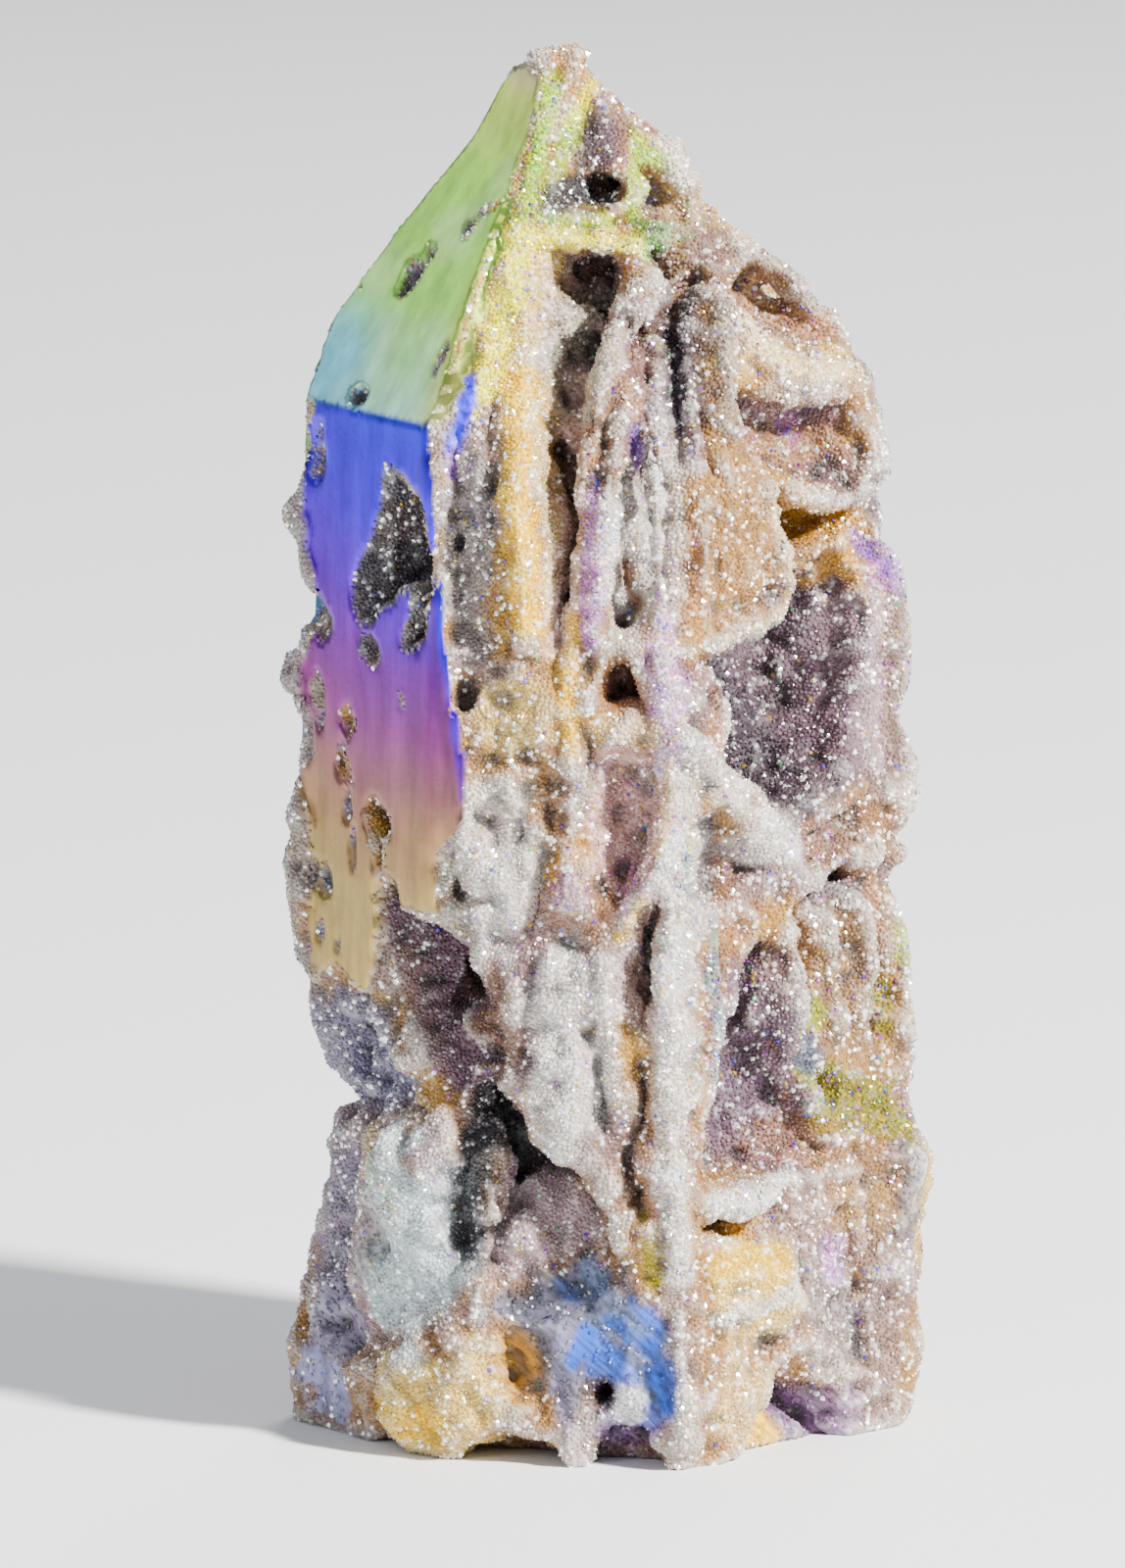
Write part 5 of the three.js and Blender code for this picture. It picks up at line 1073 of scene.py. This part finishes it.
# %% Keep the numbers as attributes
def store_number(mesh, name, values):
    """Keeps one number for each point of a mesh."""
    mesh.attributes.new(name, "FLOAT", "POINT").data.foreach_set("value", values.astype(np.float32))


def store_colour(mesh, name, colours):
    """Keeps one colour for each point of a mesh."""
    with_alpha = np.concatenate([np.clip(colours, 0, 1), np.ones((len(colours), 1))], axis=1)
    layer = mesh.attributes.new(name, "FLOAT_COLOR", "POINT")
    layer.data.foreach_set("color", with_alpha.astype(np.float32).ravel())


crust[on_base] = 0
store_colour(stone.data, "tint", tint)
store_number(stone.data, "polish", polish)
store_number(stone.data, "crust", crust)
store_number(stone.data, "glitter", glitter)
# the hollow attribute is painted shade: fewer white crystals are painted in hollows, grooves and creases
painted_shade_in_hollows = np.maximum(smooth_step(depth, 1.5, 6), smooth_step(-rise, 0.5, 1.8))
painted_shade_in_hollows = np.maximum(painted_shade_in_hollows, smooth_step(-wide_bulge, 0.3, 1.4))
store_number(stone.data, "hollow", painted_shade_in_hollows * (1 - polish))
stone.data.polygons.foreach_set("use_smooth", np.ones(len(stone.data.polygons), dtype=bool))
print("attributes:", [layer.name for layer in stone.data.attributes if not layer.name.startswith(".")])

# %% [markdown]
# ## The finish of the stone itself
# One material serves the polished bands and the ground between the crystals. It reads the attributes: the
# colour comes from tint, and polish decides between a smooth metallic sheen and rough stone. Noises on the
# Object coordinates add what the points are too far apart to hold: clouds, wood-like fibres along the
# bands and fine scratches, and a bump for the grain.

# %% Helpers for node trees
def feed(tree, target, inputs):
    """Gives each named input of a node a value, or links it to an output of another node."""
    for name, value in inputs.items():
        if isinstance(value, bpy.types.NodeSocket):
            tree.links.new(value, target.inputs[name])
        else:
            target.inputs[name].default_value = value


def node(tree, kind, settings=None, inputs=None):
    """Adds a node, sets its options and feeds its inputs."""
    added = tree.nodes.new(kind)
    for name, value in (settings or {}).items():
        setattr(added, name, value)
    feed(tree, added, inputs or {})
    return added


def new_material(name):
    """A material with only a Principled shader and its output."""
    material = bpy.data.materials.new(name)
    material.use_nodes = True
    tree = material.node_tree
    shader = tree.nodes["Principled BSDF"]
    return material, tree, shader


def attribute(tree, name, output="Fac"):
    """An attribute of the mesh, as a number or, with the output Color, as a colour."""
    return node(tree, "ShaderNodeAttribute", {"attribute_name": name}).outputs[output]


def maths(tree, operation, *terms):
    """The result of a Math node on numbers or outputs."""
    return node(tree, "ShaderNodeMath", {"operation": operation}, dict(enumerate(terms))).outputs[0]


def scaled_noise(tree, scale, detail=4.0, way="POINT", turn=(0, 0, 0), stretch=(1, 1, 1)):
    """A noise on the Object coordinates, in cycles per metre, turned and stretched by a Mapping node."""
    place = node(tree, "ShaderNodeTexCoord").outputs["Object"]
    mapping = {"Vector": place, "Rotation": turn, "Scale": stretch}
    mapped = node(tree, "ShaderNodeMapping", {"vector_type": way}, mapping).outputs["Vector"]
    noise = {"Vector": mapped, "Scale": scale, "Detail": detail, "Roughness": 0.6}
    return node(tree, "ShaderNodeTexNoise", None, noise).outputs["Fac"]


def remap(tree, value, low, high, new_low, new_high):
    """Maps a value from one range to another."""
    ends = {"From Min": low, "From Max": high, "To Min": new_low, "To Max": new_high}
    return node(tree, "ShaderNodeMapRange", None, {"Value": value, **ends}).outputs["Result"]


def mix_colours(tree, blend, share, first, second):
    """Mixes two colours. The Mix node has its colours on inputs 6 and 7 and output 2."""
    settings = {"data_type": "RGBA", "blend_type": blend}
    return node(tree, "ShaderNodeMix", settings, {0: share, 6: first, 7: second}).outputs[2]


def ramp(tree, value, stops, interpolation="LINEAR"):
    """The colour for a value, read from positions with a colour each."""
    added = node(tree, "ShaderNodeValToRGB", None, {"Fac": value})
    added.color_ramp.interpolation = interpolation
    elements = added.color_ramp.elements
    elements.remove(elements[1])
    for number, (position, colour) in enumerate(stops):
        element = elements.new(position) if number else elements[0]
        element.position = position
        element.color = (*colour, 1)
    return added.outputs["Color"]


def grey(value):
    """A grey as a colour."""
    return (value, value, value)


# %% Make the stone's material
ROUGH_STONE = 0.62
SMOOTH_STONE = (0.2, 0.36)
METAL_OF_POLISH = 0.94
BUMP_OF_ROUGH, BUMP_OF_POLISH = 0.6, 0.06
BUMP_HEIGHT = 0.2 * MM
STREAK_SLOPE = math.radians(-50)

stone_finish, tree, shader = new_material("banded_stone")
polish_here = attribute(tree, "polish")

fibres = scaled_noise(tree, 420, 5, stretch=(1, 1, 0.16))
clouds = scaled_noise(tree, 330, 6)
fibre_light = remap(tree, fibres, 0.32, 0.68, 0.72, 1.22)
cloud_light = remap(tree, clouds, 0.3, 0.7, 0.8, 1.18)
light = maths(tree, "MULTIPLY", fibre_light, cloud_light)
shaded = mix_colours(tree, "MULTIPLY", 1.0, attribute(tree, "tint", "Color"), light)

streaks = scaled_noise(tree, 2200, 4, "TEXTURE", (0, STREAK_SLOPE, 0), (1, 1, 7))
streak_light = remap(tree, streaks, 0.38, 0.62, 0.42, 1.2)
worn_share = remap(tree, polish_here, 0, 1, 1, 0)
streaked = mix_colours(tree, "MULTIPLY", worn_share, shaded, streak_light)

smooth_roughness = remap(tree, clouds, 0.3, 0.7, *SMOOTH_STONE)
roughness = node(tree, "ShaderNodeMix", {"data_type": "FLOAT"}, {
    0: polish_here, 2: ROUGH_STONE, 3: smooth_roughness})
relief = maths(tree, "ADD", scaled_noise(tree, 1500, 4), fibres)
bump_strength = remap(tree, polish_here, 0, 1, BUMP_OF_ROUGH, BUMP_OF_POLISH)
bump = node(tree, "ShaderNodeBump", None, {
    "Strength": bump_strength, "Distance": BUMP_HEIGHT, "Height": relief})
feed(tree, shader, {
    "Base Color": streaked,
    "Roughness": roughness.outputs[0],
    "Metallic": remap(tree, polish_here, 0, 1, 0.0, METAL_OF_POLISH),
    "Normal": bump.outputs["Normal"],
    "Specular IOR Level": 0.5,
})
stone.data.materials.append(stone_finish)
print("stone material:", len(tree.nodes), "nodes")

# %% [markdown]
# ## The druse
# The crust is made of almost a hundred thousand small quartz crystals, each a six-sided pyramid about half
# a millimetre wide that leans its own way. Placing them by hand or with a loop in Python would be slow, so
# Geometry Nodes grow them: points are scattered over the stone with a smallest distance between them, which
# keeps them from piling up, a cone with six sides is set on each, and turned and sized at random with a
# fixed seed. The scattered points take the colour of the stone below with them. The stone is covered in
# five bands, because one mesh of all the crystals would be too heavy.

# %% Build the node tree that grows crystals
GROWTH_INPUTS = {
    # name: (kind, usual value)
    "Stone": ("NodeSocketGeometry", None),
    "Lowest": ("NodeSocketFloat", 0.0),
    "Highest": ("NodeSocketFloat", 0.11),
    "Spacing": ("NodeSocketFloat", 0.285 * MM),
    "Radius": ("NodeSocketFloat", 0.27 * MM),
    "Length": ("NodeSocketFloat", 0.23 * MM),
    "Sunk": ("NodeSocketFloat", 0.06 * MM),
    "Lean": ("NodeSocketFloat", 0.42),
    "Seed": ("NodeSocketInt", 7),
    "Finish": ("NodeSocketMaterial", None),
}
CRYSTALS_IN_SQUARE = 3.2
FLASH_SEED, TURN_SEED = 31, 32
# a random number to this power is near 1 for few crystals only, and these are the large ones
SIZE_POWER, USUAL_SIZE, ADDED_SIZE = 7.0, 0.94, 0.3

growth = bpy.data.node_groups.new("grow_druse", "GeometryNodeTree")
identifiers = {}
for name, (kind, usual_value) in GROWTH_INPUTS.items():
    socket = growth.interface.new_socket(name=name, in_out="INPUT", socket_type=kind)
    identifiers[name] = socket.identifier
    if usual_value is not None:
        socket.default_value = usual_value
growth.interface.new_socket(name="Crystals", in_out="OUTPUT", socket_type="NodeSocketGeometry")
given = node(growth, "NodeGroupInput").outputs

place = node(growth, "GeometryNodeInputPosition").outputs["Position"]
height_of = node(growth, "ShaderNodeSeparateXYZ", None, {"Vector": place}).outputs["Z"]
limits = []
for operation, limit in (("GREATER_EQUAL", "Lowest"), ("LESS_THAN", "Highest")):
    settings = {"operation": operation, "data_type": "FLOAT"}
    compare = node(growth, "FunctionNodeCompare", settings, {"A": height_of, "B": given[limit]})
    limits.append(compare.outputs["Result"])
in_band = node(growth, "FunctionNodeBooleanMath", {"operation": "AND"}, dict(enumerate(limits)))

crust_here = node(growth, "GeometryNodeInputNamedAttribute", {"data_type": "FLOAT"}, {"Name": "crust"})
square = maths(growth, "MULTIPLY", given["Spacing"], given["Spacing"])
scatter = node(growth, "GeometryNodeDistributePointsOnFaces", {"distribute_method": "POISSON"}, {
    "Mesh": given["Stone"],
    "Selection": in_band.outputs[0],
    "Distance Min": given["Spacing"],
    "Density Max": maths(growth, "DIVIDE", CRYSTALS_IN_SQUARE, square),
    "Density Factor": crust_here.outputs["Attribute"],
    "Seed": given["Seed"],
})

flash_value = node(growth, "FunctionNodeRandomValue", {"data_type": "FLOAT"}, {"Seed": FLASH_SEED}).outputs[1]
keep_flash = node(growth, "GeometryNodeStoreNamedAttribute", {"data_type": "FLOAT", "domain": "POINT"}, {
    "Geometry": scatter.outputs["Points"], "Name": "flash", "Value": flash_value})

crystal = node(growth, "GeometryNodeMeshCone", {"fill_type": "NONE"}, {
    "Vertices": 6, "Radius Top": 0.0, "Radius Bottom": given["Radius"], "Depth": given["Length"]})
sink_by = maths(growth, "MULTIPLY", given["Sunk"], -1.0)
sink_way = node(growth, "ShaderNodeCombineXYZ", None, {"Z": sink_by})
sunk = node(growth, "GeometryNodeTransform", None, {
    "Geometry": crystal.outputs["Mesh"], "Translation": sink_way.outputs["Vector"]})

lean = given["Lean"]
lean_back = maths(growth, "MULTIPLY", lean, -1.0)
least_turn = node(growth, "ShaderNodeCombineXYZ", None, {"X": lean_back, "Y": lean_back})
most_turn = node(growth, "ShaderNodeCombineXYZ", None, {"X": lean, "Y": lean, "Z": 2 * math.pi})
own_turn = node(growth, "FunctionNodeRandomValue", {"data_type": "FLOAT_VECTOR"}, {
    "Min": least_turn.outputs["Vector"], "Max": most_turn.outputs["Vector"], "Seed": TURN_SEED})
as_rotation = node(growth, "FunctionNodeEulerToRotation", None, {"Euler": own_turn.outputs["Value"]})
turned = node(growth, "FunctionNodeRotateRotation", {"rotation_space": "LOCAL"}, {
    "Rotation": scatter.outputs["Rotation"], "Rotate By": as_rotation.outputs["Rotation"]})

few_large = maths(growth, "POWER", flash_value, SIZE_POWER)
grow = node(growth, "GeometryNodeInstanceOnPoints", None, {
    "Points": keep_flash.outputs["Geometry"],
    "Instance": sunk.outputs["Geometry"],
    "Rotation": turned.outputs["Rotation"],
    "Scale": maths(growth, "MULTIPLY_ADD", few_large, ADDED_SIZE, USUAL_SIZE),
})
real = node(growth, "GeometryNodeRealizeInstances", None, {"Geometry": grow.outputs["Instances"]})
flat = node(growth, "GeometryNodeSetShadeSmooth", None, {
    "Geometry": real.outputs["Geometry"], "Shade Smooth": False})
coated = node(growth, "GeometryNodeSetMaterial", None, {
    "Geometry": flat.outputs["Geometry"], "Material": given["Finish"]})
node(growth, "NodeGroupOutput", None, {"Crystals": coated.outputs["Geometry"]})
print("growth tree:", len(growth.nodes), "nodes")

# %% [markdown]
# ## The finish of the crystals
# Quartz is clear, but a crust of it looks like coloured sugar: bright tips, dark gaps. The thin metal coating
# makes single crystals flash gold, purple, blue or green. Each crystal has its own random number, flash. Most
# take the stone's tint, lighter or darker by that number. Some turn nearly white: these are painted glints,
# and fewer of them in the hollows, as painted shade. In the places that glitter a part of them take a rainbow
# colour and a metallic shine.

# %% Make the crystals' material
RAINBOW = [
    # from this share, the colour
    (0.0, "d8b428"), (0.3, "a848c8"), (0.5, "4a48e0"), (0.66, "e0a0b8"), (0.78, "58b878"), (0.88, "e8d878"),
]
NEARLY_WHITE = (0.97, 0.97, 0.96, 1)

crystal_finish, tree, shader = new_material("druse_crystals")
flash = attribute(tree, "flash")
glitter_here = attribute(tree, "glitter")
brightness = ramp(tree, flash, [(0.0, grey(0.58)), (0.7, grey(0.72)), (1.0, grey(0.88))])
shaded = mix_colours(tree, "MULTIPLY", 1.0, attribute(tree, "tint", "Color"), brightness)

# the nearly white crystals are painted glints; in the hollows fewer of them are painted, as painted shade
painted_glint = remap(tree, flash, 0.89, 0.92, 0.0, 0.97)
fewer_glints_in_shade = remap(tree, attribute(tree, "hollow"), 0, 1, 1.0, 0.65)
painted_glint_out_of_shade = maths(tree, "MULTIPLY", painted_glint, fewer_glints_in_shade)
by_glitter = ramp(tree, glitter_here, [(0.0, grey(0.15)), (0.1, grey(1)), (0.45, grey(1)), (1.0, grey(0.05))])
painted_glint_share = maths(tree, "MULTIPLY", painted_glint_out_of_shade, by_glitter)
with_painted_glints = mix_colours(tree, "MIX", painted_glint_share, shaded, NEARLY_WHITE)

# two shares that jump about as the crystal's number changes: one picks its colour, one whether it flashes
rainbow_share = maths(tree, "FRACT", maths(tree, "MULTIPLY", flash, 7.31))
rainbow = ramp(tree, rainbow_share, [(position, linear(code)) for position, code in RAINBOW], "CONSTANT")
chosen_share = maths(tree, "FRACT", maths(tree, "MULTIPLY", flash, 13.7))
few = remap(tree, glitter_here, 0.1, 1, 0.01, 0.3)
flashes = maths(tree, "LESS_THAN", chosen_share, few)
flash_strength = maths(tree, "MULTIPLY", flashes, 0.55)
mirror = remap(tree, flash, 0.8, 0.88, 0.0, 0.65)
feed(tree, shader, {
    "Base Color": mix_colours(tree, "MIX", flash_strength, with_painted_glints, rainbow),
    "Metallic": maths(tree, "MULTIPLY_ADD", flashes, 0.5, mirror),
    "Roughness": 0.31,
    "Specular IOR Level": 0.6,
    "IOR": 1.54,
})
print("crystal material:", len(tree.nodes), "nodes")

# %% Grow the druse in five bands
DRUSE_BANDS = [
    # name, from this height, up to this one
    ("druse_foot", -1, 19),
    ("druse_lower", 19, 38),
    ("druse_middle", 38, 57),
    ("druse_upper", 57, 78),
    ("druse_point", 78, 115),
]
FIRST_SEED = 7

stone_pieces = [stone]
for number, (name, lowest, highest) in enumerate(DRUSE_BANDS):
    grower = bpy.data.objects.new(name, stone.data)
    bpy.context.scene.collection.objects.link(grower)
    modifier = grower.modifiers.new("grow druse", "NODES")
    modifier.node_group = growth
    modifier[identifiers["Lowest"]] = lowest * MM
    modifier[identifiers["Highest"]] = highest * MM
    modifier[identifiers["Seed"]] = FIRST_SEED + number
    modifier[identifiers["Finish"]] = crystal_finish
    grown_mesh = plain_mesh_of(grower, name)
    grower.modifiers.clear()
    grower.data = grown_mesh
    stone_pieces.append(grower)
    print(name, len(grown_mesh.polygons) // 6, "crystals,", len(grown_mesh.polygons), "triangles")

# %% [markdown]
# ## Floor and light
# The stone stands on a plain pale floor. One small strong lamp from the right makes the crystals flash. Three
# larger weak ones, in front on the left and behind on both sides, and a pale world fill the shadows.

# %% Set up the floor and the lights
FLOOR_SIZE = 6.0
FLOOR_DROP = 0.05 * MM
LAMPS = [
    # name, place, size, power, colour
    ("key", (0.85, -0.62, 0.8), 0.12, 80, (1.0, 0.97, 0.93)),
    ("fill", (-0.9, -1.0, 0.6), 0.4, 5, (0.9, 0.94, 1.0)),
    ("rim", (0.3, 1.0, 0.8), 0.5, 8, (1.0, 0.98, 0.96)),
    ("sky", (-1.3, 0.85, 0.85), 1.1, 3.4, (0.93, 0.96, 1.0)),
]
LAMP_AIM = (0, 0, 0.055)
WORLD_COLOUR, WORLD_STRENGTH = (0.86, 0.9, 1.0, 1), 0.38


def area_lamp(name, place, size, power, colour):
    """A square lamp at a place, turned towards the middle of the stone."""
    data = bpy.data.lights.new(name, "AREA")
    data.shape = "SQUARE"
    data.size = size
    data.energy = power
    data.color = colour
    lamp = bpy.data.objects.new(name, data)
    lamp.location = place
    lamp.rotation_euler = (Vector(place) - Vector(LAMP_AIM)).to_track_quat("Z", "Y").to_euler()
    bpy.context.scene.collection.objects.link(lamp)


half = FLOOR_SIZE / 2
floor_mesh = bpy.data.meshes.new("floor")
floor_corners = [(-half, -half, 0), (half, -half, 0), (half, half, 0), (-half, half, 0)]
floor_mesh.from_pydata(floor_corners, [], [(0, 1, 2, 3)])
floor = bpy.data.objects.new("floor", floor_mesh)
floor.location.z = -FLOOR_DROP
bpy.context.scene.collection.objects.link(floor)
floor_finish, tree, shader = new_material("pale_floor")
feed(tree, shader, {"Base Color": (0.88, 0.89, 0.91, 1), "Roughness": 0.7})
floor_mesh.materials.append(floor_finish)

for lamp_values in LAMPS:
    area_lamp(*lamp_values)

world = bpy.data.worlds.new("studio")
world.use_nodes = True
background = world.node_tree.nodes["Background"]
feed(world.node_tree, background, {"Color": WORLD_COLOUR, "Strength": WORLD_STRENGTH})
bpy.context.scene.world = world
print("floor and", len(LAMPS), "lamps set")

# %% [markdown]
# ## Hand over to the frame
# Each piece rides on the body of the CAD model and stands for the CAD stone, which is hidden.

# %% Attach the pieces
for piece in stone_pieces:
    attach(piece, "root")
    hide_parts("sphalerite_tower")
